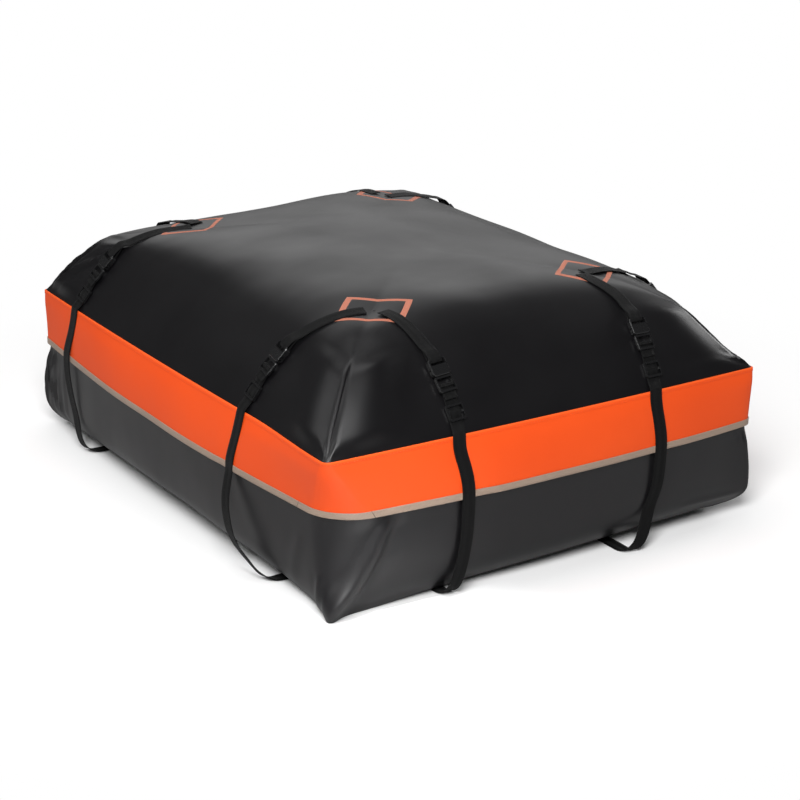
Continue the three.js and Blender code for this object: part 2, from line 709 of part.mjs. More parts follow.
// The lower webbing leaves the ladder lock in two layers. The tail lies over the outer bar's foot,
// and the loaded layer lies under it.
const LOWER_WRAP_START = 190;
const LOWER_WRAP_STEPS = 6;
const TAIL_LENGTH = 12;
const TAIL_DROP = 1.1;
const TAIL_SAG = 0.2;
const LOAD_DROP = 0.3;
const LOAD_SAG = 0.2;
const LOAD_START = 4;
const LOAD_END = 4;
const GLIDE_ENTRY = 3;
const GLIDE_OUTSIDE = 2;

// The lower webbing bends over the flap's edge, lies on the flap and the tape, and swings free
// below them down to the floor
const EDGE_BEND = 26;
const EDGE_ABOVE = 3;
const EDGE_BELOW = 8;
const EDGE_CLEAR = 2.6;
const EDGE_CLEAR_BELOW = 2.4;
const FLAP_CLEAR = 1.8;
const FLAP_CLEAR_MIDDLE = 1.6;
const TAPE_CLEAR = TAPE_THICKNESS + 2;
const TAPE_ABOVE = 6;
const TAPE_BELOW = 2;
const SWING_HIGH = 110;
const SWING_LOW = 60;
const SWING_HIGH_DRIFT = 0.1;
const SWING_LOW_DRIFT = 0.35;
const SWING_LOW_SLACK = 4;
const FOOT_DRIFT = 0.75;
const FOOT_HEIGHT = 18;
const FOOT_OUT = 6;
const FOOT_LIFT = 1.2;
const FOOT_ROLL = 16;
const UNDER_BASE = -30;

// Where the buckle and the tri-glide rest on the slope
const REST_CLEAR = 0.6;
const BUCKLE_SLOPE_REACH = 16;
const GLIDE_SLOPE_REACH = 6;
const REST_MARGIN = 2;

// Lashing at one station: two lengths of webbing and three pieces of hardware
function lashing(name, station) {
  const { side, slack, floor } = station;
  const { patch, rim, tape, run } = placesAlong(station);
  const alongAt = (inset) => mix(rim, patch, inset / WEBBING_START_INSET);

  const buckle = slopeFrame(side, BUCKLE_INSET, BUCKLE_SLOPE_REACH, alongAt);
  const glide = slopeFrame(side, GLIDE_INSET, GLIDE_SLOPE_REACH, alongAt);
  const halfWidth = HOUSING_WIDTH / 2;
  const halfGlide = GLIDE_LENGTH / 2;
  liftFrame(buckle, halfWidth, -PLUG_LENGTH - REST_MARGIN, HOUSING_LENGTH + REST_MARGIN, REST_CLEAR);
  liftFrame(glide, halfWidth, -halfGlide, halfGlide, REST_CLEAR - GLIDE_LOW);

  addPart(`buckle_housing_${name}`, inFrame(toGeometry(housingSolid()), buckle), ACETAL);
  const plug = addPart(`buckle_plug_${name}`, inFrame(toGeometry(plugSolid()), buckle), ACETAL);
  plug.userData.pullsOutAlong = buckle.up.clone().negate();
  const triGlide = addPart(`tri_glide_${name}`, inFrame(toGeometry(glideSolid()), glide), ACETAL);
  triGlide.userData.slidesAlong = glide.up.clone().negate();

  // A wrap round a bar, from an angle in degrees and on by equal steps
  const wrapped = (barY, start, count, step) => spaced(start, start + count * step, count).map((degrees) => {
    const angle = THREE.MathUtils.degToRad(degrees);
    const y = barY + WRAP_RADIUS * Math.cos(angle);
    return buckle.at(0, y, MID_PLANE + WRAP_RADIUS * Math.sin(angle));
  });
  const laid = spaced(0, LAID_STEPS, LAID_STEPS).map((k) => {
    const inset = WEBBING_START_INSET - k * LAID_STEP;
    const clear = mix(WEBBING_ON_PATCH, WEBBING_LIFT, (k / LAID_STEPS) ** LAID_STEPS);
    return overLid(side, alongAt(inset), inset, clear);
  });
  const upper = [
    ...laid,
    buckle.at(0, HOUSING_BAR_Y + UPPER_REACH, MID_PLANE + TAIL_RISE),
    ...wrapped(HOUSING_BAR_Y, UPPER_WRAP_START, UPPER_WRAP_STEPS, WRAP_STEP),
    buckle.at(0, HOUSING_BAR_Y + UPPER_TAIL_MIDDLE, MID_PLANE - WRAP_RADIUS + TAIL_RISE_MIDDLE),
    buckle.at(0, HOUSING_BAR_Y + UPPER_REACH, MID_PLANE - WRAP_RADIUS + TAIL_RISE),
  ];
  addPart(`strap_upper_${name}`, webbing(upper, upper.map(() => buckle.across)), WEBBING);

  const tailZ = MID_PLANE - TAIL_DROP;
  const loadZ = MID_PLANE - WRAP_RADIUS - LOAD_DROP;
  const onBuckle = [
    buckle.at(0, -PLUG_LENGTH - TAIL_LENGTH, tailZ - 2 * TAIL_SAG),
    buckle.at(0, LADDER_OUTER_BAR_Y, tailZ - TAIL_SAG),
    ...wrapped(LADDER_MIDDLE_BAR_Y, LOWER_WRAP_START, LOWER_WRAP_STEPS, -WRAP_STEP),
    buckle.at(0, LADDER_MIDDLE_BAR_Y - LOAD_START, loadZ),
    buckle.at(0, -PLUG_LENGTH - LOAD_END, loadZ - LOAD_SAG),
  ];
  const onGlide = [
    glide.at(0, halfGlide + GLIDE_OUTSIDE, 0),
    glide.at(0, halfGlide - GLIDE_ENTRY, 0),
    glide.at(0, 0, GLIDE_RISE),
    glide.at(0, GLIDE_ENTRY - halfGlide, 0),
    glide.at(0, -GLIDE_OUTSIDE - halfGlide, 0),
  ];
  const onBag = [
    onWall(side, rim, WALL_HEIGHT + EDGE_ABOVE, EDGE_CLEAR),
    onWall(side, rim, WALL_HEIGHT - EDGE_BELOW, EDGE_CLEAR_BELOW),
    onWall(side, rim, WALL_HEIGHT - EDGE_BEND, FLAP_CLEAR),
    onWall(side, mix(rim, tape, 1 / 2), (WALL_HEIGHT + FLAP_BOTTOM) / 2, FLAP_CLEAR_MIDDLE),
    onWall(side, tape, FLAP_BOTTOM + TAPE_WIDTH + TAPE_ABOVE, TAPE_CLEAR),
    onWall(side, tape, FLAP_BOTTOM - TAPE_BELOW, TAPE_CLEAR),
    onWall(side, mix(tape, run, SWING_HIGH_DRIFT), SWING_HIGH, slack + TAPE_BELOW),
    onWall(side, mix(tape, run, SWING_LOW_DRIFT), SWING_LOW, slack + SWING_LOW_SLACK),
    place(side, mix(tape, run, FOOT_DRIFT), floor + FOOT_OUT, FOOT_HEIGHT),
    place(side, run, floor, FLOOR_CLEAR + FOOT_LIFT),
    place(side, run, floor - FOOT_ROLL, FLOOR_CLEAR),
    place(side, run, UNDER_BASE, FLOOR_CLEAR),
    place(side, run, -SEWN_LENGTH_UNDER_BASE, FLOOR_CLEAR),
  ];
  const facing = Math.sign(buckle.across.dot(SIDES[side].along));
  const straight = SIDES[side].along.clone().multiplyScalar(facing);
  const lower = [...onBuckle, ...onGlide, ...onBag];
  const acrossAt = [
    ...onBuckle.map(() => buckle.across),
    ...onGlide.map(() => glide.across),
    ...onBag.map(() => straight),
  ];
  addPart(`strap_lower_${name}`, webbing(lower, acrossAt), WEBBING);
}

// Tub
const BASE_EDGE_STEPS = 4;
const BASE_EDGE_CROWDING = 2;
const WALL_STEPS = 4;
const TUB_HEIGHTS = [
  ...spaced(0, BASE_EDGE_HEIGHT, BASE_EDGE_STEPS, BASE_EDGE_CROWDING),
  ...spaced(BASE_EDGE_HEIGHT, FLAP_BOTTOM, WALL_STEPS).slice(1),
  FLAP_BOTTOM + ZIP_ROOM_RUN,
  ZIP_LOW,
  ZIP_HEIGHT,
];
const tubShell = solidFromRows(TUB_HEIGHTS.map((z) => wallRing(z, -shellInset(z))));
const tubWithSeats = Object.values(STATIONS).reduce(
  (solid, station) => solid.subtract(webbingSeat(station)),
  toSolid(tubShell),
);
addPart('tub', toGeometry(tubWithSeats), TARPAULIN);

// Lid
addPart('lid', lidGeometry(), TARPAULIN_LID);

// Flap, reflective tape and zip are bands that follow the wall
function band(heights, outer, inner, from = 0, count = 0) {
  const outerRings = heights.map((z) => wallRing(z, outer(z)));
  const innerRings = heights.map((z) => wallRing(z, inner(z)));
  const total = outerRings[0].length;
  const rows = [];
  const length = count || total;
  for (let i = 0; i < length; i += 1) {
    const index = (from + i) % total;
    const up = outerRings.map((ring) => ring[index]);
    const down = innerRings.map((ring) => ring[index]).reverse();
    rows.push([...up, ...down]);
  }
  return solidFromRows(rows, count === 0, heights.length);
}

const FLAP_STEPS = 5;
const FLAP_HEIGHTS = spaced(FLAP_BOTTOM, WALL_HEIGHT, FLAP_STEPS);
addPart('flap_band', band(FLAP_HEIGHTS, () => 0, () => -FLAP_THICKNESS), ORANGE);

const TAPE_HEIGHTS = [FLAP_BOTTOM, FLAP_BOTTOM + TAPE_WIDTH];
const reflectiveTape = band(TAPE_HEIGHTS, () => GAP + TAPE_THICKNESS, () => GAP);
addPart('reflective_tape', reflectiveTape, REFLECTIVE);

// The zip runs round the front and both long sides, and a little round the back corners
const RING_POINTS = 2 * (SHORT_SIDE_STEPS + LONG_SIDE_STEPS) + 4 * CORNER_STEPS;
const BACK_FIRST = 2 * CORNER_STEPS + LONG_SIDE_STEPS;
const ZIP_BACK_STEPS = Math.round(ZIP_BACK_RUN * SHORT_SIDE_STEPS / BAG_WIDTH);
const ZIP_START = BACK_FIRST + SHORT_SIDE_STEPS - ZIP_BACK_STEPS;
const ZIP_COUNT = RING_POINTS - SHORT_SIDE_STEPS + 2 * ZIP_BACK_STEPS + 1;
const zipBase = (z) => -shellInset(z) + GAP;
const zipTapeTop = (z) => zipBase(z) + ZIP_TAPE_THICKNESS;
const ZIP_TAPE_HEIGHTS = [ZIP_LOW, ZIP_HEIGHT, ZIP_HIGH];
addPart('zip_tape', band(ZIP_TAPE_HEIGHTS, zipTapeTop, zipBase, ZIP_START, ZIP_COUNT), ZIP_BLACK);

const coilBase = -shellInset(ZIP_HEIGHT) + 2 * GAP + ZIP_TAPE_THICKNESS;
const COIL_HEIGHTS = [ZIP_HEIGHT - COIL_WIDTH / 2, ZIP_HEIGHT + COIL_WIDTH / 2];
const coil = band(COIL_HEIGHTS, () => coilBase + COIL_THICKNESS, () => coilBase, ZIP_START, ZIP_COUNT);
addPart('zip_coil', coil, ZIP_BLACK);

// Two sliders meet at the middle of the front, each with a pull hung on a pin. They lean as the
// wall does there. Each is drawn upright, with y = 0 on the face of the coil.
const SLIDER_CLEAR = 0.4;
const SLIDER_WIDTH = COIL_WIDTH + 2 * (SLIDER_WALL + SLIDER_CLEAR);
const SLIDER_FACE = -SLIDER_CLEAR - SLIDER_WALL;
const PIN_MARGIN = 1.5;
const PIN_Z = -SLIDER_WIDTH / 2 + PULL_PIN_RADIUS + PIN_MARGIN;
const PIN_LENGTH = PULL_THICKNESS + 2 * GAP;
const PIN_HEAD = 0.8;
const PIN_HEAD_REACH = 1;
const PULL_NARROWING = 1;
const PULL_CURVE_STEPS = 4;
const zipBulge = BULGE_SHORT_SIDE * bulgeShare(ZIP_HEIGHT);
const zipLean = Math.atan(2 * BULGE_SHORT_SIDE * (ZIP_HEIGHT - FLAP_BOTTOM) / BULGE_SPREAD_ABOVE ** 2);
const coilFace = HALF_LENGTH + zipBulge + coilBase + COIL_THICKNESS;
const zipRadius = HALF_WIDTH ** 2 / (2 * zipBulge);
const sliderX = SLIDER_LENGTH / 2 + GAP;

function onZip(geometry, side) {
  geometry.rotateX(-zipLean);
  return geometry.translate(side * sliderX, -coilFace, ZIP_HEIGHT);
}

function pinPart(radius, length, y) {
  const geometry = new THREE.CylinderGeometry(radius, radius, length, BAR_FACETS);
  geometry.translate(0, y, PIN_Z);
  return toSolid(geometry);
}

function slider() {
  const depth = COIL_THICKNESS - SLIDER_FACE;
  const shell = block(SLIDER_LENGTH, depth, SLIDER_WIDTH, 0, SLIDER_FACE + depth / 2, 0);
  const channelWidth = COIL_WIDTH + 2 * SLIDER_CLEAR;
  const channelY = depth / 2 - SLIDER_CLEAR;
  const channel = block(SLIDER_LENGTH + 2 * CUT_PAST, depth, channelWidth, 0, channelY, 0);
  const pin = pinPart(PULL_PIN_RADIUS, PIN_LENGTH + PIN_HEAD, SLIDER_FACE - (PIN_LENGTH - PIN_HEAD) / 2);
  const head = pinPart(PULL_PIN_RADIUS + PIN_HEAD_REACH, PIN_HEAD, SLIDER_FACE - PIN_LENGTH - PIN_HEAD / 2);
  return toGeometry(shell.subtract(channel).add(pin).add(head));
}

function pull() {
  const halfWidth = PULL_WIDTH / 2;
  const tipRadius = halfWidth - PULL_NARROWING;
  const tipY = 2 * halfWidth - PULL_LENGTH;
  const shape = new THREE.Shape();
  shape.absarc(0, 0, halfWidth, 0, Math.PI, false);
  shape.lineTo(-tipRadius, tipY);
  shape.absarc(0, tipY, tipRadius, Math.PI, 2 * Math.PI, false);
  const eye = new THREE.Path();
  eye.absarc(0, 0, PULL_PIN_RADIUS + GAP, 0, 2 * Math.PI, true);
  shape.holes.push(eye);
  const options = { depth: PULL_THICKNESS, bevelEnabled: false, curveSegments: PULL_CURVE_STEPS };
  const geometry = new THREE.ExtrudeGeometry(shape, options);
  geometry.rotateX(QUARTER_TURN);
  geometry.translate(0, SLIDER_FACE - GAP, PIN_Z);
  return geometry;
}

for (const [name, side] of Object.entries({ left: -1, right: 1 })) {
  const slide = addPart(`zip_slider_${name}`, onZip(slider(), side), ZINC);
  slide.userData.runsAbout = new THREE.Vector3(0, zipRadius - coilFace, 0);
  const tab = addPart(`zip_pull_${name}`, onZip(pull(), side), ZINC);
  const pivot = new THREE.Vector3(0, SLIDER_FACE, PIN_Z).applyAxisAngle(AXIS_X, -zipLean);
  tab.userData.hangsFrom = pivot.add(new THREE.Vector3(side * sliderX, -coilFace, ZIP_HEIGHT));
  tab.userData.swingsAbout = AXIS_Y.clone().applyAxisAngle(AXIS_X, -zipLean);
}

// Anchor patches: a square turned by 45 degrees at each corner of the lid's crown, with a pad
// inside a raised border, both following the lid
const ABOVE_ALL = WALL_HEIGHT + 2 * LID_RISE;

function diamondPrism(x, y, side) {
  const reach = side / Math.SQRT2;
  const rows = [0, ABOVE_ALL].map((z) => [
    new THREE.Vector3(x + reach, y, z),
    new THREE.Vector3(x, y + reach, z),
    new THREE.Vector3(x - reach, y, z),
    new THREE.Vector3(x, y - reach, z),
  ]);
  return toSolid(solidFromRows(rows));
}

const lidTop = (raised) => toSolid(lidGeometry(raised));
const underPatches = lidTop(GAP);
const padLayer = lidTop(GAP + PAD_THICKNESS).subtract(underPatches);
const borderLayer = lidTop(GAP + BORDER_THICKNESS).subtract(underPatches);
const PATCH_CORNERS = {
  front_left: [-1, -1],
  front_right: [1, -1],
  back_left: [-1, 1],
  back_right: [1, 1],
};
for (const [name, [signX, signY]] of Object.entries(PATCH_CORNERS)) {
  const x = signX * (HALF_WIDTH - PATCH_INSET_X);
  const y = signY * (HALF_LENGTH - PATCH_INSET_Y);
  const inside = PATCH_SIDE - 2 * BORDER_WIDTH;
  const square = borderLayer.intersect(diamondPrism(x, y, PATCH_SIDE));
  const border = square.subtract(diamondPrism(x, y, inside));
  const pad = padLayer.intersect(diamondPrism(x, y, inside - 2 * GAP));
  addPart(`patch_border_${name}`, toGeometry(border), PIPING_ORANGE);
  addPart(`patch_pad_${name}`, toGeometry(pad), TARPAULIN_LID);
}

for (const [name, station] of Object.entries(STATIONS)) {
  lashing(name, station);
}

export default object;
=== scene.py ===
# %% [markdown]
# # A roof cargo bag
# This lesson dresses a soft cargo bag for a car roof: a dark tarpaulin tub, a domed black lid, an orange
# storm flap with a reflective tape, and eight webbing lashings with side-release buckles.
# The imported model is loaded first. Its hard pieces (buckles, tri-glides, zip) get materials, and its soft
# pieces are replaced by finer surfaces that are worked out with numpy, in millimetres.

# %% Load the frame
import math

import bpy
import numpy as np
from mathutils import Matrix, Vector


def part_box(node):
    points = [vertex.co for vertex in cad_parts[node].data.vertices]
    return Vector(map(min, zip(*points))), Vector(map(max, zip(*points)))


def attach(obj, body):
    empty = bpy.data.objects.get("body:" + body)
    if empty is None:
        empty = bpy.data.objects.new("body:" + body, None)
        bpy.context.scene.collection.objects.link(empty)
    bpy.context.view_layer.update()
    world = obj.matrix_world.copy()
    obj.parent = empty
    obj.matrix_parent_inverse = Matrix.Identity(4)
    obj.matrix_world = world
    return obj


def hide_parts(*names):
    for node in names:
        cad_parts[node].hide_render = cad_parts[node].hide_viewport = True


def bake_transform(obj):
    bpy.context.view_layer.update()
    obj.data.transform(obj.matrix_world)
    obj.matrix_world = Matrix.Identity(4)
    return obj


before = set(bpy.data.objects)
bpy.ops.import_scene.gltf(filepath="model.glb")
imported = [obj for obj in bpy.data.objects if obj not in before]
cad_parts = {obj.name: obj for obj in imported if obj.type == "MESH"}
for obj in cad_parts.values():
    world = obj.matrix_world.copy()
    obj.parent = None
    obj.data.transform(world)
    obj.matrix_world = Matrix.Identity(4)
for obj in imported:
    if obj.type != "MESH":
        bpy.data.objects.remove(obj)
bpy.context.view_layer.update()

MM = 0.001

# %% [markdown]
# ## Measures of the bag
# The side walls follow a rounded rectangle, 860 by 1080 mm over the rim. A filled bag bulges between its
# corners, mostly at the foot of the flap. The same few measures give the tub, the flap, the tape and the lid,
# so the layers fit inside each other.

# %% Measures
HALF_WIDTH, HALF_LENGTH = 430.0, 540.0
RIM_Z, FLAP_FOOT_Z, ZIP_Z, ZIP_TOP_Z = 276.0, 170.0, 222.0, 236.0
FLAP_THICKNESS, GAP = 2.0, 0.3
BULGE_LONG, BULGE_SHORT = 28.0, 24.0
BULGE_ABOVE, BULGE_BELOW = 127.0, 191.0  # how far from the foot of the flap the bulge ends
FOOT_RADIUS, RIM_RADIUS, BASE_RADIUS = 36.0, 10.0, 14.0  # of an even corner, at the flap's foot, rim and base
ROLL_DEPTH, ROLL_HEIGHT = 34.0, 52.0  # how the wall rolls in at the ground
LID_INNER = HALF_WIDTH - FLAP_THICKNESS - GAP
LID_RISE, SHOULDER_INSET, SHOULDER_RISE = 172.0, 92.0, 117.0
CORNER_NAMES = ["front_right", "back_right", "back_left", "front_left"]
CORNER_SIGNS = np.array([[1, -1], [1, 1], [-1, 1], [-1, -1]], float)
CORNER_START = np.radians([-90.0, 0.0, 90.0, 180.0])
CORNER_STEPS = 14
SIDE_STEPS = [140, 112, 140, 112]


def mix(a, b, t):
    """a at t = 0, b at t = 1."""
    return a + (b - a) * t


def smooth(t):
    """An S-shaped step from 0 to 1: 3t^2 - 2t^3, held at its ends."""
    c = np.clip(t, 0.0, 1.0)
    return c * c * (3 - 2 * c)


def bell(distance, width):
    """A bell curve: exp(-(distance / width)^2)."""
    return np.exp(-((distance / width) ** 2))


def column(values):
    """An array turned to one column."""
    return np.asarray(values, float).reshape(-1, 1)


def unit(vectors):
    """Vectors scaled to length 1."""
    return vectors / np.maximum(np.linalg.norm(vectors, axis=-1, keepdims=True), 1e-9)


def run_along(points):
    """Millimetres run along a path of points (n, 2 or 3), from 0 at the first."""
    return np.concatenate([[0.0], np.cumsum(np.linalg.norm(np.diff(points, axis=0), axis=1))])


def at_run(places, run, values):
    """The columns of values (n, m), interpolated at places along the run."""
    return np.stack([np.interp(places, run, part) for part in values.T], axis=1)


print("rim", 2 * HALF_WIDTH, "x", 2 * HALF_LENGTH, "mm, lid top at", RIM_Z + LID_RISE, "mm")

# %% [markdown]
# ## The rounded rectangle
# Every layer is a stack of rounded rectangles. Each has the same number of points at every height: an arc of
# points at each corner and a row of points along each side. A stack of such rings is a grid, so the shape is
# a function of two parameters: the place round the bag and the height.

# %% Rings
def rounded_ring(half_x, half_y, radii):
    """x and y of rounded rectangles, one per row. Corner arcs are centre + radius (cos a, sin a), and sides run
    straight from one arc's last point to the next arc's first. radii has a column per corner."""
    def arc(c, angle):
        radius, (sign_x, sign_y) = radii[:, c : c + 1], CORNER_SIGNS[c]
        x, y = sign_x * (half_x - radius), sign_y * (half_y - radius)
        return x + radius * np.cos(angle), y + radius * np.sin(angle)

    xs, ys = [], []
    for c, n in enumerate([1, 2, 3, 0]):
        x, y = arc(c, CORNER_START[c] + np.linspace(0, np.pi / 2, CORNER_STEPS + 1))
        end_x, end_y = arc(n, CORNER_START[n])
        t = np.linspace(0, 1, SIDE_STEPS[c] + 1)[1:-1]
        xs += [x, mix(x[:, -1:], end_x, t)]
        ys += [y, mix(y[:, -1:], end_y, t)]
    return np.hstack(xs), np.hstack(ys)


def bulged(x, y, half_x, half_y, share):
    """Pushes the sides outward: |x / half|^3 (1 - (y / half)^2) times the bulge, and the same the other way."""
    out_x = np.sign(x) * np.abs(x / half_x) ** 3 * (1 - (y / half_y) ** 2)
    out_y = np.sign(y) * np.abs(y / half_y) ** 3 * (1 - (x / half_x) ** 2)
    return x + out_x * BULGE_LONG * share, y + out_y * BULGE_SHORT * share


def outward(points):
    """Unit normals of a grid of rows of closed rings: the cross product of its two tangents."""
    round_it = np.roll(points, -1, axis=1) - np.roll(points, 1, axis=1)
    return unit(np.cross(round_it, np.gradient(points, axis=0)))


flat_x, flat_y = rounded_ring(column([HALF_WIDTH]), column([HALF_LENGTH]), np.full((1, 4), FOOT_RADIUS))
flat_ring = np.stack([flat_x[0], flat_y[0], 0 * flat_x[0]], axis=1)
RING_NORMAL = outward(np.stack([flat_ring, flat_ring + [0, 0, 1]]))[0]
ROUND = run_along(np.vstack([flat_ring, flat_ring[:1]]))  # millimetres run round the bag at each column
GIRTH, RING = ROUND[-1], len(flat_ring)
first_columns = np.cumsum([0] + [CORNER_STEPS + n for n in SIDE_STEPS[:-1]])
CORNER_AT = {name: ROUND[i + CORNER_STEPS // 2] for name, i in zip(CORNER_NAMES, first_columns)}


def round_from(place):
    """Signed millimetres from a place round the bag to each column, counter-clockwise seen from above."""
    return (ROUND[None, :-1] - place + GIRTH / 2) % GIRTH - GIRTH / 2


FROM = {name: round_from(place) for name, place in CORNER_AT.items()}
print(RING, "columns round the bag, girth", round(GIRTH), "mm")

# %% [markdown]
# ## Folds and slack
# Coated fabric lies smooth where it is stretched and folds where its corners are gathered. A fold is drawn
# as a ridge with a shallow valley at each side, along a straight line on the fabric. A sum of long waves
# gives the slack between the folds. The seeds are fixed, so each run gives the same bag.

# %% Fold functions
def fold(across, along, line, width, height):
    """A fold along the line (a0, b0, a1, b1) in fabric millimetres: (1 - 2 q^2) exp(-q^2) with q the distance
    over the width, fading out at the line's ends."""
    a0, b0, a1, b1 = line
    length = math.hypot(a1 - a0, b1 - b0)
    ua, ub = (a1 - a0) / length, (b1 - b0) / length
    t = ((across - a0) * ua + (along - b0) * ub) / length
    q = ((across - a0) * ub - (along - b0) * ua) / width
    fade = np.clip(1 - (2 * t - 1) ** 2, 0, 1) ** 0.7
    return height * fade * (1 - 2 * q**2) * np.exp(-(q**2))


def folds(along, table):
    """The sum of a table's folds, which are placed by their distance from a corner."""
    return sum(fold(FROM[corner], along, *each) for corner, lines in table.items() for each in lines)


def slack(u, v, seed, longest, shortest, height, count=14):
    """A sum of sine waves with lengths between shortest and longest, in random directions."""
    chance = np.random.default_rng(seed)
    total = np.zeros(np.broadcast(u, v).shape)
    for _ in range(count):
        length = chance.uniform(shortest, longest)
        turn, phase = chance.uniform(0, 2 * np.pi, 2)
        total += np.sin(2 * np.pi * (u * np.cos(turn) + v * np.sin(turn)) / length + phase)
    return total * height / math.sqrt(count)


print("a fold 4 mm high and 9 wide, from its ridge outward:",
      [round(float(fold(q, 50.0, (0, 0, 0, 100), 9, 4.0)), 1) for q in (0, 5, 10, 15, 20)])

# %% [markdown]
# ## From a grid to a mesh
# One function makes most new pieces: it takes rows of closed rings and joins them with four-sided faces.
# The ends are closed with a fan, or the last row joins the first. If the enclosed volume comes out negative,
# the surface is inside out, and all its faces are turned round.

# %% Loft
SHARP = math.radians(42)


def new_object(name, data, matrix=None):
    """Puts an object with this data into the scene."""
    item = bpy.data.objects.new(name, data)
    bpy.context.scene.collection.objects.link(item)
    if matrix is not None:
        item.matrix_world = matrix
    return item


def mesh_object(name, points, faces, uv=None):
    """A smooth mesh object. points and uv are in millimetres, and uv has a pair for each corner of a face."""
    mesh = bpy.data.meshes.new(name)
    mesh.from_pydata((points * MM).tolist(), [], faces)
    if uv is not None:
        mesh.uv_layers.new(name="UVMap").data.foreach_set("uv", (uv * MM).astype(np.float32))
    mesh.polygons.foreach_set("use_smooth", np.ones(len(mesh.polygons), bool))
    return new_object(name, mesh)


def grid(count, ring, joined=False):
    """The row and the column of each face of a grid of closed rings, and the face's four corners."""
    last = count if joined else count - 1
    i, j = [a.ravel() for a in np.meshgrid(np.arange(last), np.arange(ring), indexing="ij")]
    k, n = (j + 1) % ring, (i + 1) % count
    return i, j, np.stack([i * ring + j, i * ring + k, n * ring + k, n * ring + j], axis=1)


def loft(name, rows, u, v, joined=False):
    """A mesh object from rows of rings of points in millimetres, (rows, ring, 3). u has a value for each row and
    v for each point of a ring, and both have one more for the seam. They go to the UV map."""
    count, ring, _ = rows.shape
    points = rows.reshape(-1, 3)
    i, j, quads = grid(count, ring, joined)
    quad_uv = np.stack([u[i], v[j], u[i], v[j + 1], u[i + 1], v[j + 1], u[i + 1], v[j]], axis=1).reshape(-1, 4, 2)
    fans = np.zeros((0, 3), int)
    if not joined:
        j = np.arange(ring)
        k, low, top = (j + 1) % ring, 0 * j + len(points), (count - 1) * ring
        fans = np.vstack([np.stack([k, j, low], axis=1), np.stack([top + j, top + k, low + 1], axis=1)])
        points = np.vstack([points, rows[0].mean(axis=0), rows[-1].mean(axis=0)])
    fan_uv = points[fans][:, :, :2]
    a, b, c = points[np.vstack([quads[:, :3], quads[:, [0, 2, 3]], fans])].transpose(1, 0, 2)
    if np.einsum("ij,ij->", a, np.cross(b, c)) < 0:
        quads, fans, quad_uv, fan_uv = [part[:, ::-1] for part in (quads, fans, quad_uv, fan_uv)]
    faces = quads.tolist() + fans.tolist()
    piece = mesh_object(name, points, faces, np.concatenate([quad_uv.ravel(), fan_uv.ravel()]))
    piece.data.set_sharp_from_angle(angle=SHARP)
    return piece


def finish_piece(piece, body, slot, material, *nodes):
    """Gives a piece its material and its body, and hides the CAD nodes it stands for; slot is not used."""
    piece.data.materials.append(material)
    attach(piece, body)
    if nodes:
        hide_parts(*nodes)
    return piece


# %% [markdown]
# ## Colours and nodes
# Colours are written as the sRGB hex values that an eye or a picture gives. Blender works with linear light,
# so one function converts them. One small function adds a node, sets its values and links its inputs.

# %% Colour and node helpers
def colour(hex_code):
    """sRGB hex to linear RGBA: ((s + 0.055) / 1.055)^2.4 above 0.04045, else s / 12.92."""
    parts = [int(hex_code[i : i + 2], 16) / 255 for i in (1, 3, 5)]
    return [p / 12.92 if p <= 0.04045 else ((p + 0.055) / 1.055) ** 2.4 for p in parts] + [1.0]


def add(tree, kind, settings=None, **inputs):
    """Adds a shader node. settings are its properties. Each input is a value, or an output socket to link.
    Spaces in a socket's name are written as _, and a name such as in0 is the input of that number."""
    node = tree.nodes.new("ShaderNode" + kind)
    for key, value in (settings or {}).items():
        setattr(node, key, value)
    for key, value in inputs.items():
        number = key[2:] if key.startswith("in") and key[2:].isdigit() else None
        socket = node.inputs[int(number)] if number else node.inputs[key.replace("_", " ")]
        if isinstance(value, bpy.types.NodeSocket):
            tree.links.new(value, socket)
        else:
            socket.default_value = value
    return node


def new_material(name, base, roughness, **values):
    """A material with a Principled shader. base is a hex colour, and values go to sockets by name."""
    material = bpy.data.materials.new(name)
    material.use_nodes = True
    tree = material.node_tree
    shader = tree.nodes["Principled BSDF"]
    shader.inputs["Base Color"].default_value = colour(base)
    shader.inputs["Roughness"].default_value = roughness
    for key, value in values.items():
        shader.inputs[key.replace("_", " ")].default_value = value
    material.diffuse_color = colour(base)
    return material, tree, shader


def link(tree, output, shader, socket):
    """Joins an output to one of the shader's sockets."""
    tree.links.new(output, shader.inputs[socket])


def relief(tree, shader, place, *layers):
    """Bumps from noise, each over the one before. A layer is its scale, detail, strength and depth in metres.
    Gives back the last layer's noise."""
    below = {}
    for scale, detail, strength, depth in layers:
        noise = add(tree, "TexNoise", Vector=place, Scale=scale, Detail=detail).outputs["Fac"]
        bump = add(tree, "Bump", Height=noise, Strength=strength, Distance=depth, **below)
        below = {"Normal": bump.outputs["Normal"]}
    link(tree, below["Normal"], shader, "Normal")
    return noise


def clouded(tree, place, scale, detail, low, high):
    """A colour that drifts between two hex colours with noise. Gives the colour and the noise."""
    cloud = add(tree, "TexNoise", Vector=place, Scale=scale, Detail=detail).outputs["Fac"]
    return add(tree, "Mix", COLOURS, Factor=cloud, in6=colour(low), in7=colour(high)).outputs[2], cloud


COLOURS = {"data_type": "RGBA"}  # the setting of a Mix node whose inputs 6 and 7 and output 2 are colours
print("orange in linear light:", [round(c, 3) for c in colour("#F8602F")[:3]])

# %% [markdown]
# ## PVC-coated tarpaulin
# The tub and the lid are polyester scrim coated with soft PVC. The coating is glossy but not a mirror: it
# has a faint grain from the roller, 1 to 4 mm coarse, and long ripples where the scrim shrank. The base
# colour is dark, and the light areas in the photograph are the studio's reflection, so the gloss matters
# more than the colour. PVC has an index of refraction near 1.53.

# %% Tarpaulin material
GRAIN = 1 / 0.0036  # noise scale of the roller's grain: lumps of 3.6 mm with finer ones in them


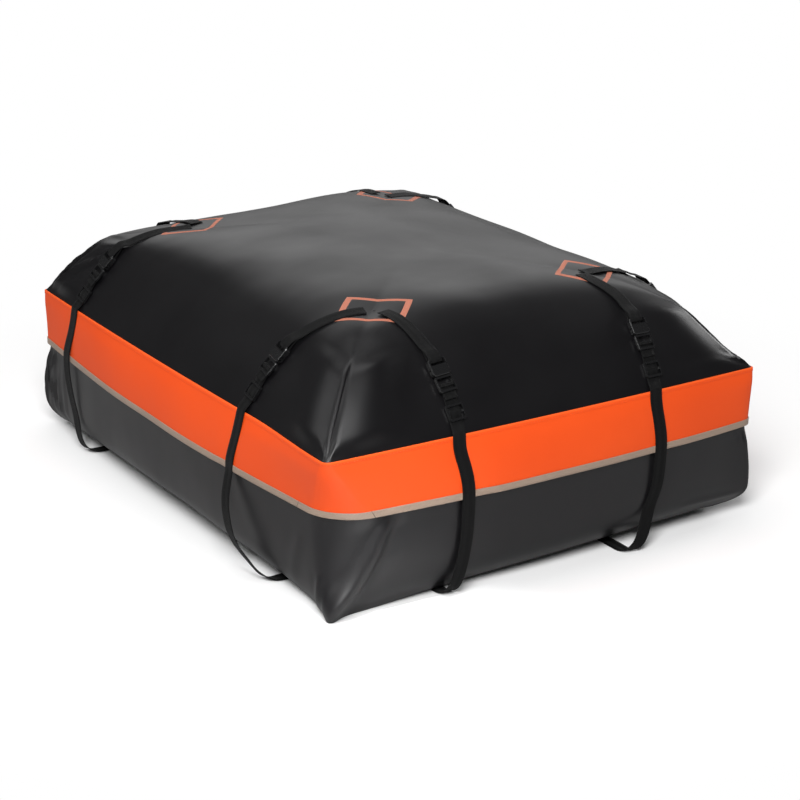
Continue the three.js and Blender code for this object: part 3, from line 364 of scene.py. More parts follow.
def tarpaulin(name, base, worn, roughness, shine):
    """Coated fabric: a slight change of tone, grain and ripples in the bump, and uneven gloss."""
    material, tree, shader = new_material(name, base, roughness, IOR=1.53, Specular_IOR_Level=shine)
    place = add(tree, "TexCoord").outputs["Object"]
    tone, cloud = clouded(tree, place, 6.0, 3.0, base, worn)
    link(tree, tone, shader, "Base Color")
    gloss = add(tree, "MapRange", Value=cloud, From_Min=0.3, From_Max=0.7,
                To_Min=roughness - 0.03, To_Max=roughness + 0.04)
    link(tree, gloss.outputs["Result"], shader, "Roughness")
    relief(tree, shader, place, (GRAIN, 2.0, 0.10, 0.0006), (11.0, 1.0, 0.25, 0.006))
    return material


tub_pvc = tarpaulin("grey_pvc_tarpaulin", "#0E0D0F", "#131214", 0.40, 0.46)
lid_pvc = tarpaulin("black_pvc_tarpaulin", "#080709", "#0C0B0D", 0.37, 0.34)
print("made", tub_pvc.name, "and", lid_pvc.name)

# %% [markdown]
# ## The flap's cloth and the reflective tape
# The flap is the same coated cloth in safety orange, with a folded hem along its top edge that has a painted
# highlight. The tape is a woven band covered with glass beads: greige by day, with a fine slanted hatch. It is
# joined twice near the front left corner, and each join shows as a dark line.

# %% Flap and tape materials
HEM_HIGHLIGHT_FROM, HEM_HIGHLIGHT_TO = 0.2725, 0.2745  # heights in metres between which the hem's painted highlight begins
TAPE_JOINS = (0.033, -0.055)  # metres run from the front left corner


def flap_cloth():
    """Orange tarpaulin. The object's Z gives the top of the hem a lighter orange: a painted highlight."""
    material, tree, shader = new_material("orange_pvc_tarpaulin", "#E84D12", 0.54,
                                          IOR=1.53, Specular_IOR_Level=0.28)
    place = add(tree, "TexCoord").outputs["Object"]
    height = add(tree, "SeparateXYZ", Vector=place).outputs["Z"]
    tone, _ = clouded(tree, place, 5.0, 2.0, "#E34A10", "#EC5216")
    # painted highlight: the top of the hem is mixed to a lighter orange, #EE5A1E
    hem_highlight = add(tree, "MapRange", Value=height, From_Min=HEM_HIGHLIGHT_FROM, From_Max=HEM_HIGHLIGHT_TO).outputs["Result"]
    highlighted = add(tree, "Mix", COLOURS, Factor=hem_highlight, in6=tone, in7=colour("#EE5A1E"))
    link(tree, highlighted.outputs[2], shader, "Base Color")
    relief(tree, shader, place, (260.0, 2.0, 0.08, 0.0006), (14.0, 1.0, 0.2, 0.005))
    return material


def bead_tape():
    """Beaded tape: a slanted hatch of waves 4 mm apart over the UV map, coarser than the real 1 mm."""
    material, tree, shader = new_material("glass_bead_reflective_tape", "#8A7768", 0.42, IOR=1.5)
    cloth = add(tree, "TexCoord").outputs["UV"]
    tone, _ = clouded(tree, cloth, 12.0, 3.0, "#8B7769", "#A18D7C")
    run = add(tree, "SeparateXYZ", Vector=cloth).outputs["X"]
    one, two = [add(tree, "Math", {"operation": "COMPARE"}, in0=run,
                    in1=CORNER_AT["front_left"] * MM + place, in2=0.0007).outputs[0] for place in TAPE_JOINS]
    joins = add(tree, "Math", {"operation": "ADD"}, in0=one, in1=two).outputs[0]
    joined = add(tree, "Mix", COLOURS, Factor=joins, in6=tone, in7=colour("#5A4A40"))
    link(tree, joined.outputs[2], shader, "Base Color")
    hatch = add(tree, "TexWave", {"bands_direction": "DIAGONAL"}, Vector=cloth, Scale=105.0)
    bump = add(tree, "Bump", Height=hatch.outputs["Fac"], Strength=0.35, Distance=0.0004)
    link(tree, bump.outputs["Normal"], shader, "Normal")
    return material


orange_pvc = flap_cloth()
tape_cloth = bead_tape()
print("made", orange_pvc.name, "and", tape_cloth.name)

# %% [markdown]
# ## Webbing, buckles and the zip
# The lashings are black polyester webbing, 25 mm wide, with a twill that makes small chevrons. The real rib
# is about 1.3 mm wide, and it is drawn at 2.6 mm so that it shows. The buckles are moulded acetal, slightly
# glossy with a spark-eroded grain. The zip is nylon, and its sliders are blackened zinc.

# %% Webbing, plastic and metal materials
RIB, CHEVRON = 0.0026, 0.0065  # metres from rib to rib, and from the webbing's edge to a chevron's tip


def webbing_weave():
    """Chevron twill: a sine of the run plus a zigzag across the width, in the UV map's metres."""
    material, tree, shader = new_material("black_polyester_webbing", "#070708", 0.66, IOR=1.5,
                                          Specular_IOR_Level=0.16, Sheen_Weight=0.03, Sheen_Roughness=0.4)
    cloth = add(tree, "TexCoord").outputs["UV"]
    parts = add(tree, "SeparateXYZ", Vector=cloth).outputs
    edge = add(tree, "Math", {"operation": "PINGPONG"}, in0=parts["Y"], in1=CHEVRON)
    slant = add(tree, "Math", {"operation": "ADD"}, in0=parts["X"], in1=edge.outputs[0])
    phase = add(tree, "Math", {"operation": "MULTIPLY"}, in0=slant.outputs[0], in1=2 * math.pi / RIB)
    rib = add(tree, "Math", {"operation": "SINE"}, in0=phase.outputs[0])
    share = add(tree, "MapRange", Value=rib.outputs[0], From_Min=-1.0).outputs["Result"]
    tone = add(tree, "Mix", COLOURS, Factor=share, in6=colour("#040404"), in7=colour("#0B0B0C"))
    link(tree, tone.outputs[2], shader, "Base Color")
    bump = add(tree, "Bump", Height=share, Strength=0.6, Distance=0.0005)
    link(tree, bump.outputs["Normal"], shader, "Normal")
    return material


def grained(name, base, roughness, scale, strength, **values):
    """A moulded or cast surface: fine noise in the bump and a slight change of gloss."""
    material, tree, shader = new_material(name, base, roughness, **values)
    place = add(tree, "TexCoord").outputs["Object"]
    grain = relief(tree, shader, place, (scale, 2.0, strength, 0.0003))
    gloss = add(tree, "MapRange", Value=grain, To_Min=roughness - 0.05, To_Max=roughness + 0.07)
    link(tree, gloss.outputs["Result"], shader, "Roughness")
    return material


black_webbing = webbing_weave()
acetal = grained("moulded_acetal", "#121213", 0.26, 900.0, 0.15, IOR=1.48)
zinc = grained("blackened_zinc", "#4A4A4D", 0.34, 500.0, 0.1, Metallic=0.9)
nylon = grained("nylon_zip_tape", "#141415", 0.7, 700.0, 0.5, IOR=1.53)
edging = grained("orange_woven_edging", "#B06B55", 0.62, 480.0, 0.5, IOR=1.5)
thread = grained("black_bonded_thread", "#1A1A1B", 0.55, 900.0, 0.2, IOR=1.5)
orange_thread = grained("orange_bonded_thread", "#D8511F", 0.55, 900.0, 0.2, IOR=1.5)
print("made", len(bpy.data.materials), "materials")

# %% [markdown]
# ## The camera and the studio
# The camera stands where the photographer stood: 33 degrees to the left of the front, looking down by 20,
# with a long lens. The bag stands on a pale floor that fades to white further out. The room is seen white,
# but it lights the bag gently. A wide softbox behind the bag gives the grey sheen on the top of the lid, and
# the key at the front left lights the orange flap. Three weaker ones stand above, at the left and at the
# right, and a spot whitens the floor in front of the near corner.

# %% Camera
def look(position, forward, roll=0.0):
    """A matrix whose -Z is forward and whose X is level, turned by roll, as a camera or a lamp needs it."""
    forward = unit(np.array(forward))
    level = unit(np.cross(forward, [0.0, 0.0, 1.0]))
    up = np.cross(level, forward)
    right = math.cos(roll) * level + math.sin(roll) * up
    upright = -math.sin(roll) * level + math.cos(roll) * up
    turn = np.eye(4)
    turn[:3, :] = np.stack([right, upright, -forward, position], axis=1)
    return Matrix(turn.tolist())


yaw, pitch, roll = 0.571, 0.3474, 0.004
SENSOR, FOCAL_PIXELS, PICTURE_PIXELS = 36.0, 2278.8, 800
forward = [math.sin(yaw) * math.cos(pitch), math.cos(yaw) * math.cos(pitch), -math.sin(pitch)]
camera_data = bpy.data.cameras.new("camera")
camera_data.sensor_width, camera_data.lens = SENSOR, FOCAL_PIXELS * SENSOR / PICTURE_PIXELS
camera_data.clip_start, camera_data.clip_end = 0.1, 60.0
bpy.context.scene.camera = new_object("camera", camera_data, look([-2.1281, -3.3776, 1.5770], forward, roll))
bpy.context.scene.view_settings.view_transform = "Standard"
print("lens", round(camera_data.lens, 1), "mm")

# %% Floor, room and lamps
FLOOR_REACH, FLOOR_Z = 30000.0, -0.6
floor = mesh_object("floor", np.hstack([CORNER_SIGNS * FLOOR_REACH, np.full((4, 1), FLOOR_Z)]), [(0, 1, 2, 3)])
paint, tree, shader = new_material("pale_studio_floor", "#F4F4F4", 0.9, IOR=1.3)
place = add(tree, "TexCoord").outputs["Object"]
away = add(tree, "VectorMath", {"operation": "LENGTH"}, in0=place).outputs["Value"]
far = add(tree, "MapRange", {"interpolation_type": "SMOOTHSTEP"}, Value=away, From_Min=0.68, From_Max=1.3)
seen = add(tree, "LightPath").outputs["Is Camera Ray"]
paint_tone = add(tree, "Mix", COLOURS, Factor=seen, in6=colour("#B4B4B4"), in7=colour("#F4F4F4"))
link(tree, paint_tone.outputs[2], shader, "Base Color")
share = add(tree, "Math", {"operation": "MULTIPLY"}, in0=far.outputs["Result"], in1=seen)
white = add(tree, "Emission", Color=(1, 1, 1, 1), Strength=1.0)
both = add(tree, "MixShader", in0=share.outputs[0], in1=shader.outputs[0], in2=white.outputs[0])
tree.links.new(both.outputs[0], tree.nodes["Material Output"].inputs["Surface"])
floor.data.materials.append(paint)

world = bpy.data.worlds.new("white_room")
bpy.context.scene.world = world
world.use_nodes = True
room = world.node_tree
seen = add(room, "LightPath").outputs["Is Camera Ray"]
strength = add(room, "MapRange", Value=seen, To_Min=0.11, To_Max=1.0)
background = room.nodes["Background"]
background.inputs["Color"].default_value = (1, 1, 1, 1)
link(room, strength.outputs["Result"], background, "Strength")

SOFTBOXES = {  # position, target, width, height in metres, and power in watts
    "softbox_behind": ([2.7, 4.3, 2.3], [0.0, 0.2, 0.3], 5.0, 2.8, 46.0),
    "softbox_key": ([-2.5, -3.3, 3.7], [0.0, -0.1, 0.2], 2.4, 2.4, 340.0),
    "softbox_above": ([-0.4, 0.9, 5.0], [0.0, 0.0, 0.2], 3.0, 3.0, 60.0),
    "softbox_left": ([-2.9, 1.4, 2.9], [-0.4, -0.4, 0.35], 1.1, 1.1, 20.0),
    "softbox_right": ([4.2, 0.5, 1.7], [0.2, 0.0, 0.25], 1.6, 1.6, 42.0),
}
for name, (position, target, width, height, power) in SOFTBOXES.items():
    data = bpy.data.lights.new(name, "AREA")
    data.shape, data.size, data.size_y, data.energy = "RECTANGLE", width, height, power
    new_object(name, data, look(position, np.array(target) - np.array(position)))
spot_data = bpy.data.lights.new("floor_spot", "SPOT")
spot_data.energy, spot_data.spot_size, spot_data.spot_blend = 1500.0, math.radians(9.5), 0.7
spot_data.shadow_soft_size = 0.2
new_object("floor_spot", spot_data, look([-0.5, -1.1, 2.6], [0.1, 0.3, -2.6]))
print(len(SOFTBOXES), "softboxes, and a spot on the floor in front of the near corner")

# %% [markdown]
# ## The wall
# The wall is widest at the foot of the flap, where the bag is fullest, and draws in towards the rim and the
# base. Its corners are rounder at the foot of the flap than at the rim. Each corner of the real bag has its
# own roundness. The straps pull the flap in, so it stands a little proud between them.

# %% Wall surface
CORNER_SHAPE = np.array([0.42, 0.9, 0.42, 1.3])  # at the rim: front right, back right, back left, front left
FOOT_SHAPE = np.array([0.42, 0.9, 0.42, 1.9])  # at the foot of the flap
STRAPS = {
    "front_left": ("front", -189.0, -186.0, -216.0), "front_right": ("front", 212.0, 212.0, 158.0),
    "left_front": ("left", -262.0, -262.0, -342.0), "left_back": ("left", 387.0, 390.0, 355.0),
    "right_front": ("right", -300.0, -298.0, -328.0), "right_back": ("right", 345.0, 345.0, 375.0),
    "back_left": ("back", -200.0, -198.0, -228.0), "back_right": ("back", 200.0, 198.0, 228.0),
}  # side, then the place along it at the rim, at the tape and at the floor
SIDE_FROM = {
    "right": ("front_right", HALF_LENGTH, 1), "back": ("back_right", HALF_WIDTH, -1),
    "left": ("back_left", HALF_LENGTH, -1), "front": ("front_left", HALF_WIDTH, 1),
}  # the corner that a side is counted from, half its length, and which way x or y grows round the bag
ARC_SAVING = 15.5  # how much shorter the run over a 36 mm corner is than round a square one


def round_at(side, along):
    """Millimetres run round the bag at a place along one side, to within 8 mm."""
    corner, half, way = SIDE_FROM[side]
    return CORNER_AT[corner] + half + way * along - ARC_SAVING


def strap_distance(z):
    """Distance in millimetres from each point of the wall to the nearest strap, for a column of heights."""
    nearest = np.full((len(z), RING), 1e3)
    for side, rim, tape, foot in STRAPS.values():
        along = np.interp(z, [0.0, FLAP_FOOT_Z, RIM_Z], [foot, tape, rim])
        nearest = np.minimum(nearest, np.abs(round_from(round_at(side, along))))
    return nearest


def bulge_share(z):
    """1 at the foot of the flap: a parabola above it and a cubic below."""
    above, below = ((z - FLAP_FOOT_Z) / BULGE_ABOVE) ** 2, (np.abs(FLAP_FOOT_Z - z) / BULGE_BELOW) ** 3
    return 1 - np.where(z > FLAP_FOOT_Z, above, below)


def up_the_flap(z):
    """0 at the foot of the flap, 1 at the rim."""
    return (z - FLAP_FOOT_Z) / (RIM_Z - FLAP_FOOT_Z)


def corner_radius(z):
    """36 mm at the foot of the flap, 10 at the rim and 14 at the base, each times the corner's own shape."""
    foot = FOOT_RADIUS * FOOT_SHAPE
    low = np.clip((FLAP_FOOT_Z - z) / FLAP_FOOT_Z, 0, 1) ** 1.5
    return np.where(z > FLAP_FOOT_Z, mix(foot, RIM_RADIUS * CORNER_SHAPE, up_the_flap(z)),
                    mix(foot, BASE_RADIUS * CORNER_SHAPE, low))


def base_inset(z):
    """How far the wall rolls in near the ground: (1 - z / high)^2.5 times a depth. The depth is 34 mm, but 10 at
    the front left corner and up to 62; high is 52 mm and up to 70. Both grow in the left's and front's middle."""
    near = FROM["front_left"]
    left, front = bell(near + 560, 360.0), bell(near - 640, 280.0)
    deep = ROLL_DEPTH - 24 * bell(near, 190.0) + 28 * left + 18 * front
    return deep * np.clip(1 - z / (ROLL_HEIGHT + 18 * left + 12 * front), 0, 1) ** 2.5


# Each fold is its line (from the corner, height, from the corner, height), its width and its height.
WALL_FOLDS = {
    "back_left": [((14, 40, 30, 190), 7, 3.6), ((34, 10, 52, 176), 6, 3.4), ((58, 30, 50, 190), 7, 3.2),
                  ((84, 8, 70, 120), 8, 2.8), ((112, 20, 96, 150), 9, 2.0), ((-30, 70, -18, 160), 8, 2.2)],
    "front_right": [((-10, 128, -34, 172), 5, 3.2), ((-30, 140, -52, 172), 5, 2.6), ((30, 90, 45, 168), 8, 2.4),
                    ((-60, 14, -240, 24), 7, 3.0), ((-30, 40, -170, 50), 9, 2.2)],
    "front_left": [((4, -30, 66, 200), 23, 8.5), ((-46, 4, -20, 70), 9, 3.0),
                   ((-120, 30, -60, 120), 16, 1.6)],
    "back_right": [((20, 60, 40, 150), 9, 2.6), ((-34, 40, -20, 150), 9, 2.6)],
}
CORNER_PULLS = {"front_left": (2.0, 46.0, -25.0, -11.0), "back_left": (80.0, 90.0, -7.0, 7.0),
                "front_right": (80.0, 90.0, 6.0, -6.0)}  # height, spread, and how far it is pulled in x and y


def lean(x, y):
    """The rim's front left corner leans out by 14 mm to the left: 14 (x / half width)^2 in the front quarter."""
    return -14.0 * smooth((-y - 290) / 250) * np.clip(-x / HALF_WIDTH, 0, 1.1) ** 2


def wall(z, out):
    """Points of the wall at heights z, moved out by out millimetres: a bulged rounded rectangle per row, with
    the flap's fullness between the straps, the folds at the corners and long waves of slack."""
    z, out = column(z), column(out)
    half_x, half_y, below = HALF_WIDTH + out, HALF_LENGTH + out, FLAP_FOOT_Z - z
    x, y = rounded_ring(half_x, half_y, np.maximum(4.0, corner_radius(z) + out))
    x, y = bulged(x, y, half_x, half_y, bulge_share(z))
    x, y = x * (1 - base_inset(z) / HALF_WIDTH), y * (1 - base_inset(z) / HALF_LENGTH)
    free = (1 - bell(strap_distance(z), 26.0)) * smooth((RIM_Z - z) / 30)
    fullness = 1.6 * smooth((z - 20) / 60) + slack(ROUND[None, :-1], 1.6 * z, 5, 420.0, 130.0, 0.9)
    total = fullness * free + folds(np.minimum(z, FLAP_FOOT_Z), WALL_FOLDS) * smooth((below + 2) / 30)
    points = np.stack([x, y, z + 0 * x], axis=2) + RING_NORMAL * total[:, :, None]
    for corner, (middle, spread, dx, dy) in CORNER_PULLS.items():
        share = bell(FROM[corner], 44.0) * bell(z - middle, spread) * smooth((below + 4) / 40)
        points = points + share[:, :, None] * [dx, dy, 0.0]
    points[:, :, 0] += lean(points[:, :, 0], points[:, :, 1]) * smooth(up_the_flap(z))
    return points


print("wall at the foot of the flap:", wall([FLAP_FOOT_Z], [0.0]).reshape(-1, 3).min(axis=0).round(1))

# %% [markdown]
# ## The tub
# The tub is a shell with a flat base. It is drawn as a stack of rings from the middle of the base, over the
# rounded lower edge, up the wall to the zip. It stands for a bag that is packed and closed, so the stack is
# closed at the top, where the lid covers it.

# %% Tub
def shell_inset(z):
    """How far a shell lies inside the flap's outer face: 2 mm low down, 5 at the foot of the flap, 13 behind
    the zip and 2.3 at the rim."""
    low = mix(2.0, 5.0, smooth((z - 84) / 86))
    middle = mix(5.0, 13.0, smooth((z - FLAP_FOOT_Z) / 16))
    high = FLAP_THICKNESS + mix(GAP, 11.0, smooth((RIM_Z - z) / 40))
    return np.where(z <= FLAP_FOOT_Z, low, np.where(z <= ZIP_TOP_Z, middle, high))


def shrunk_rings(ring, insets, height):
    """Level rings: a ring of the wall, shrunk towards the middle."""
    x, y = ring[:, 0] * (1 - column(insets) / HALF_WIDTH), ring[:, 1] * (1 - column(insets) / HALF_LENGTH)
    return np.stack([x, y, height + 0 * x], axis=2)


BASE_INSETS, TOP_INSETS = [300.0, 200.0, 120.0, 60.0, 30.0, 14.0, 6.0, 2.0], [3.0, 60.0, 250.0]
tub_z = np.concatenate([[0.0, 0.8, 2.0, 3.8, 6.0, 9.0, 12.5, 17.0, 22.0], np.linspace(28, 168, 34),
                        [170, 174, 180, 186, 200, 215, ZIP_Z]])
tub_wall = wall(tub_z, -shell_inset(tub_z))
tub_rows = np.concatenate([shrunk_rings(tub_wall[0], BASE_INSETS, 0.0), tub_wall,
                           shrunk_rings(tub_wall[-1], TOP_INSETS, ZIP_Z)])
from_right = np.hypot(tub_rows[:, :, 0] - HALF_WIDTH, tub_rows[:, :, 1] + HALF_LENGTH)
tub_rows[:, :, 2] += 7.0 * bell(from_right, 190.0) * smooth((60 - tub_rows[:, :, 2]) / 60)
tub_u = np.concatenate([0 * np.array(BASE_INSETS), tub_z, np.full(len(TOP_INSETS) + 1, ZIP_Z)])
tub = loft("tub_shell", tub_rows, tub_u, ROUND)
finish_piece(tub, "bag", "tub_tarpaulin", tub_pvc, "tub")
print(tub.name, len(tub.data.polygons), "faces")

# %% [markdown]
# ## The flap and the tape
# The flap hangs from the rim over the zip. It is a band with a closed section: its outer face, a folded hem
# at the top, its inner face and a turned edge at the foot. The reflective tape is sewn over its foot.

# %% Flap and tape
def band(name, section):
    """A closed band round the bag. section lists (height, out) points of its cross-section in order."""
    section = np.array(section, float)
    rows = wall(*section.T).transpose(1, 0, 2)
    return loft(name, rows, ROUND, run_along(np.vstack([section, section[:1]])), joined=True)


flap_section = [(170.4, -0.3), (170.0, -0.8), (170.0, -1.4), (171.0, -2.0)]
flap_section += [(z, -2.0) for z in (190, 222, 250, 268, 275.2)] + [(276.0, -1.6), (276.2, -0.9)]
flap_section += [(275.9, 0.2), (275.0, 0.6), (269.6, 0.6), (269.0, 0.5), (268.6, 0.05)]
flap_section += [(z, 0.0) for z in np.linspace(264, 171.5, 22)]
flap = band("storm_flap", flap_section)
finish_piece(flap, "bag", "orange_flap", orange_pvc, "flap_band")
tape_section = [(170.3, 0.3), (181.7, 0.3), (182.0, 0.6), (182.0, 1.1), (181.6, 1.45), (178.0, 1.5), (174.0, 1.5),
                (170.4, 1.45), (170.0, 1.1), (170.0, 0.6)]
tape = band("bead_tape", tape_section)
finish_piece(tape, "bag", "reflective_tape", tape_cloth, "reflective_tape")
print(flap.name, len(flap.data.polygons), "faces;", tape.name, len(tape.data.polygons), "faces")

# %% [markdown]
# ## The lid
# The lid rises from the rim in four slopes. Over the corners it is sewn to a dart, so its hips run straight
# up to a shoulder. The middles of its sides are rounder. Each ring lies at an inset from the rim, and the
# height at each point is mixed from the two profiles.

# %% Lid surface
def soft_min(a, b, blend):
    """The lower of two values with a rounded crossing."""
    h = np.maximum(blend - np.abs(a - b), 0) / blend
    return np.minimum(a, b) - h * h * blend / 4


def rise_at_hip(inset):
    """A straight slope of 1.27 up to the shoulder, then a flat power curve to the top."""
    left = (LID_INNER - inset) / (LID_INNER - SHOULDER_INSET)
    return soft_min(1.27 * inset, LID_RISE - (LID_RISE - SHOULDER_RISE) * np.abs(left) ** 2.2, 14.0)


def rise_at_middle(inset):
    """158 mm in the first 250 mm, steep first, and 14 more to the top."""
    return 158 * (1 - (1 - np.minimum(1, inset / 250)) ** 3.2) + 14 * smooth(inset / LID_INNER)


# Each fold is its line (from the corner, inset, from the corner, inset), its width and its height.
LID_FOLDS = {
    "back_left": [((14, 10, 40, 80), 8, 6.0), ((-20, 20, -34, 96), 7, 5.0), ((44, 6, 90, 60), 9, 5.6),
                  ((70, 20, 130, 90), 10, 4.6), ((-50, 10, -90, 70), 9, 4.2)],
    "front_right": [((-8, 4, -60, 26), 5, 2.4), ((16, 6, 44, 40), 6, 3.0), ((10, 30, 30, 90), 8, 2.6),
                    ((40, 60, 120, 110), 9, 2.4), ((60, 96, 180, 128), 9, 2.0)],
    "front_left": [((-14, 4, -46, 16), 6, 1.6), ((12, 5, 40, 14), 6, 1.4)],
    "back_right": [((14, 10, 40, 80), 9, 2.6), ((-20, 14, -40, 80), 9, 2.6)],
}
DART_PANELS = {"front_left": (8.0, 12.0), "front_right": (8.0, 4.0), "back_left": (4.0, 12.0),
               "back_right": (8.0, 8.0)}  # how far the cloth swells before and after each corner's dart
PATCH_AT = {"front_left": (-218.0, -323.0), "front_right": (218.0, -323.0), "back_left": (-211.0, 335.0),
            "back_right": (228.0, 333.0)}
PATCH_LIFTS = [8.0, 2.0, 3.0, 1.0]  # how far each of them holds the lid up


def settle(x, y):
    """How far the real lid lies higher than the even one, in millimetres: stiff patches hold it up at the four
    shoulders. The back is slacker in its middle, the right side a little, and the front right corner is not
    filled."""
    back = 15.0 * smooth((y - 120) / 260) * bell(x + 110, 250.0) * smooth((LID_INNER + 40 - y) / 70)
    right = 16.0 * smooth((x - 60) / 200) * bell(y - 90, 280.0) * smooth((LID_INNER - x - 70) / 60)
    corner = 14.0 * bell(np.hypot(x - 365, y + 472), 110.0)
    held = sum(lift * bell(np.hypot(x - 1.22 * px, y - 1.16 * py), 58.0)
               for (px, py), lift in zip(PATCH_AT.values(), PATCH_LIFTS))
    return held - back - right - corner


def lid_slack(x, y):
    """Long waves of slack in the lid, in millimetres."""
    return slack(x, y, 11, 520.0, 170.0, 1.1)


def uneven(ring):
    """How far a ring of the crown strays from the even lid: where it settles, and its slack."""
    return settle(ring[:, :, 0], ring[:, :, 1]) + lid_slack(ring[:, :, 0], ring[:, :, 1])


def lid_surface(insets):
    """Points of the lid's outer face at insets from the rim: a ring per inset, its height mixed from the hip
    and the middle profile by 1 - along^4, with along the nearness to a corner."""
    inset = column(insets)
    half_x = LID_INNER - inset
    half_y = half_x + HALF_LENGTH - HALF_WIDTH
    hip = mix(RIM_RADIUS * CORNER_SHAPE - FLAP_THICKNESS - GAP, 4.0, smooth(inset / SHOULDER_INSET))
    grown = np.minimum(60.0, half_x * 0.5)
    radii = np.maximum(1.5, mix(hip, grown, smooth((inset - SHOULDER_INSET) / SHOULDER_INSET)))
    x, y = rounded_ring(half_x, half_y, np.minimum(radii, half_x * 0.98))
    along = np.minimum(np.abs(x / half_x), np.abs(y / half_y))
    rise = mix(rise_at_hip(inset), rise_at_middle(inset), 1 - along**4)
    x, y = bulged(x, y, half_x, half_y, bulge_share(RIM_Z) * np.clip(1 - inset / SHOULDER_INSET, 0, 1))
    points = np.stack([x, y, RIM_Z + rise], axis=2)
    inner = smooth(inset / 24)
    total = lid_slack(x, y) * inner + folds(inset, LID_FOLDS) * smooth(inset / 8)
    reach = smooth(inset / 18) * smooth((SHOULDER_INSET + 10 - inset) / 26)
    for corner, (before, after) in DART_PANELS.items():
        swell = mix(before, after, smooth(FROM[corner] / 40)) * bell(np.abs(FROM[corner]) - 80, 52.0)
        total = total + (swell - 0.7 * bell(FROM[corner], 4.2)) * reach
    points[:, :, 2] += settle(x, y) * inner
    points[:, :, 0] += lean(x, y)
    away = mix(outward(points), np.array([0.0, 0.0, 1.0]), smooth((inset - 70) / 60)[:, :, None])
    return points + away * total[:, :, None]


lid_insets = np.concatenate([[0.0, 1.5, 3.5, 6.0, 9.0], np.linspace(13, 120, 30), np.linspace(126, 378, 38)])
skirt_z = np.array([222.4, 230.0, 250.0, 262.0, 270.0, 274.0])
skirt = wall(skirt_z, -shell_inset(skirt_z) - 0.2)
slopes = lid_surface(lid_insets)
shrink = np.linspace(0.88, 0.04, 8)[:, None, None]
even = slopes[-1:, :, 2] - uneven(slopes[-1:])
crown = slopes[-1:] * np.array([1, 1, 0]) * shrink
crown[:, :, 2] = mix(even.mean() + 0.8, even, shrink[:, :, 0] ** 2) + uneven(crown)
lid_rows = np.concatenate([shrunk_rings(skirt[0], TOP_INSETS[::-1], skirt_z[0]), skirt, slopes, crown])
lid_u = np.concatenate([[0, 0, 0], skirt_z, RIM_Z + lid_insets, RIM_Z + np.linspace(384, 427, 9)])
lid = loft("lid_shell", lid_rows, lid_u, ROUND)
finish_piece(lid, "bag", "lid_tarpaulin", lid_pvc, "lid")
print(lid.name, len(lid.data.polygons), "faces, top at", lid_rows[:, :, 2].max().round(1), "mm")

# %% [markdown]
# ## The lashings
# Webbing is flat and its width can't bend sideways, so each strap is a cross-section carried along a path.
# The path must thread the buckle's bars exactly as the CAD solid does, so it is read from that solid: going
# out from one end, each step along the mesh meets the four corners of the next cross-section.

# %% Read a strap's path
def solid_rows(name):
    """The centres and width directions of a strap's cross-sections. The loose triangles are merged by place.
    From one end point the mesh is walked outward ring by ring; each ring is one cross-section."""
    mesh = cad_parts[name].data
    places, corners = np.empty(len(mesh.vertices) * 3), np.empty(len(mesh.loops), int)
    mesh.vertices.foreach_get("co", places)
    mesh.loops.foreach_get("vertex_index", corners)
    points, where = np.unique((places.reshape(-1, 3) / MM).round(3), axis=0, return_inverse=True)
    triangles = where.reshape(-1)[corners].reshape(-1, 3)
    links = np.unique(np.sort(triangles[:, [0, 1, 1, 2, 2, 0]].reshape(-1, 2), axis=1), axis=0)
    both = np.vstack([links, links[:, ::-1]])
    ends = np.flatnonzero(np.bincount(both[:, 0], minlength=len(points)) == 4)
    around = [points[np.sort(both[both[:, 0] == end, 1])].mean(axis=0) for end in ends]
    spread = np.linalg.norm(around - points[ends], axis=1)
    front, rings = ends[[int(np.argmin(spread))]], []
    passed = np.zeros(len(points), bool)
    while True:
        passed[front] = True
        reached = np.unique(both[np.isin(both[:, 0], front), 1])
        front = reached[~passed[reached]]
        if len(front) != 4:
            break
        rings.append(points[front])
    rings = np.array(rings)
    mate = 1 + np.argmin(np.linalg.norm(rings[:, 1:] - rings[:, :1], axis=2), axis=1)
    one = (rings[:, 0] + rings[np.arange(len(rings)), mate]) / 2
    two = rings.sum(axis=1) / 2 - one
    width = unit(two - one)
    turns = np.sign(np.einsum("ij,ij->i", width[1:], width[:-1]))
    return (one + two) / 2, width * np.concatenate([[1.0], np.cumprod(turns)])[:, None]


centres, widths = solid_rows("strap_lower_front_left")
print("strap_lower_front_left has", len(centres), "cross-sections; it starts at", centres[0].round(1))

# %% [markdown]
# The path is then made smoother and denser, and a thin section with full selvedges is carried along it. The
# section is 25 mm wide and 1.4 mm thick in the middle, a little thicker at its woven edges.

# %% Carry the webbing's section along a path
PATH_STEP, HALF_THICK, GROUND = 4.0, 0.68, 0.05
half_across = np.concatenate([np.linspace(-11.9, 11.9, 9), [12.35, 12.5, 12.35]])
half_side = np.concatenate([np.ones(9), [0.62, 0.0, -0.62]])
web_across, web_side = [np.concatenate([half, -half]) for half in (half_across, half_side)]
web_rise = HALF_THICK * (1 + 0.12 * bell(np.abs(web_across) - 11.2, 1.2))
STRAP_SHIFTS = {
    "front_left": [(262, 40, -9.0, 0.0)], "front_right": [(0, 60, -15.0, 3.0), (262, 40, -7.0, 0.0)],
    "left_front": [(0, 60, -9.0, 0.0), (168, 62, 0.0, 18.0)],
    "left_back": [(0, 60, 9.0, 0.0), (168, 62, 0.0, 24.0)],
}  # height and spread in millimetres, then how far the real strap wanders in x and y there
END_SHIFTS = {"front_left": 0.0, "front_right": -20.0, "back_left": 16.0, "back_right": -12.0}  # x on the patches


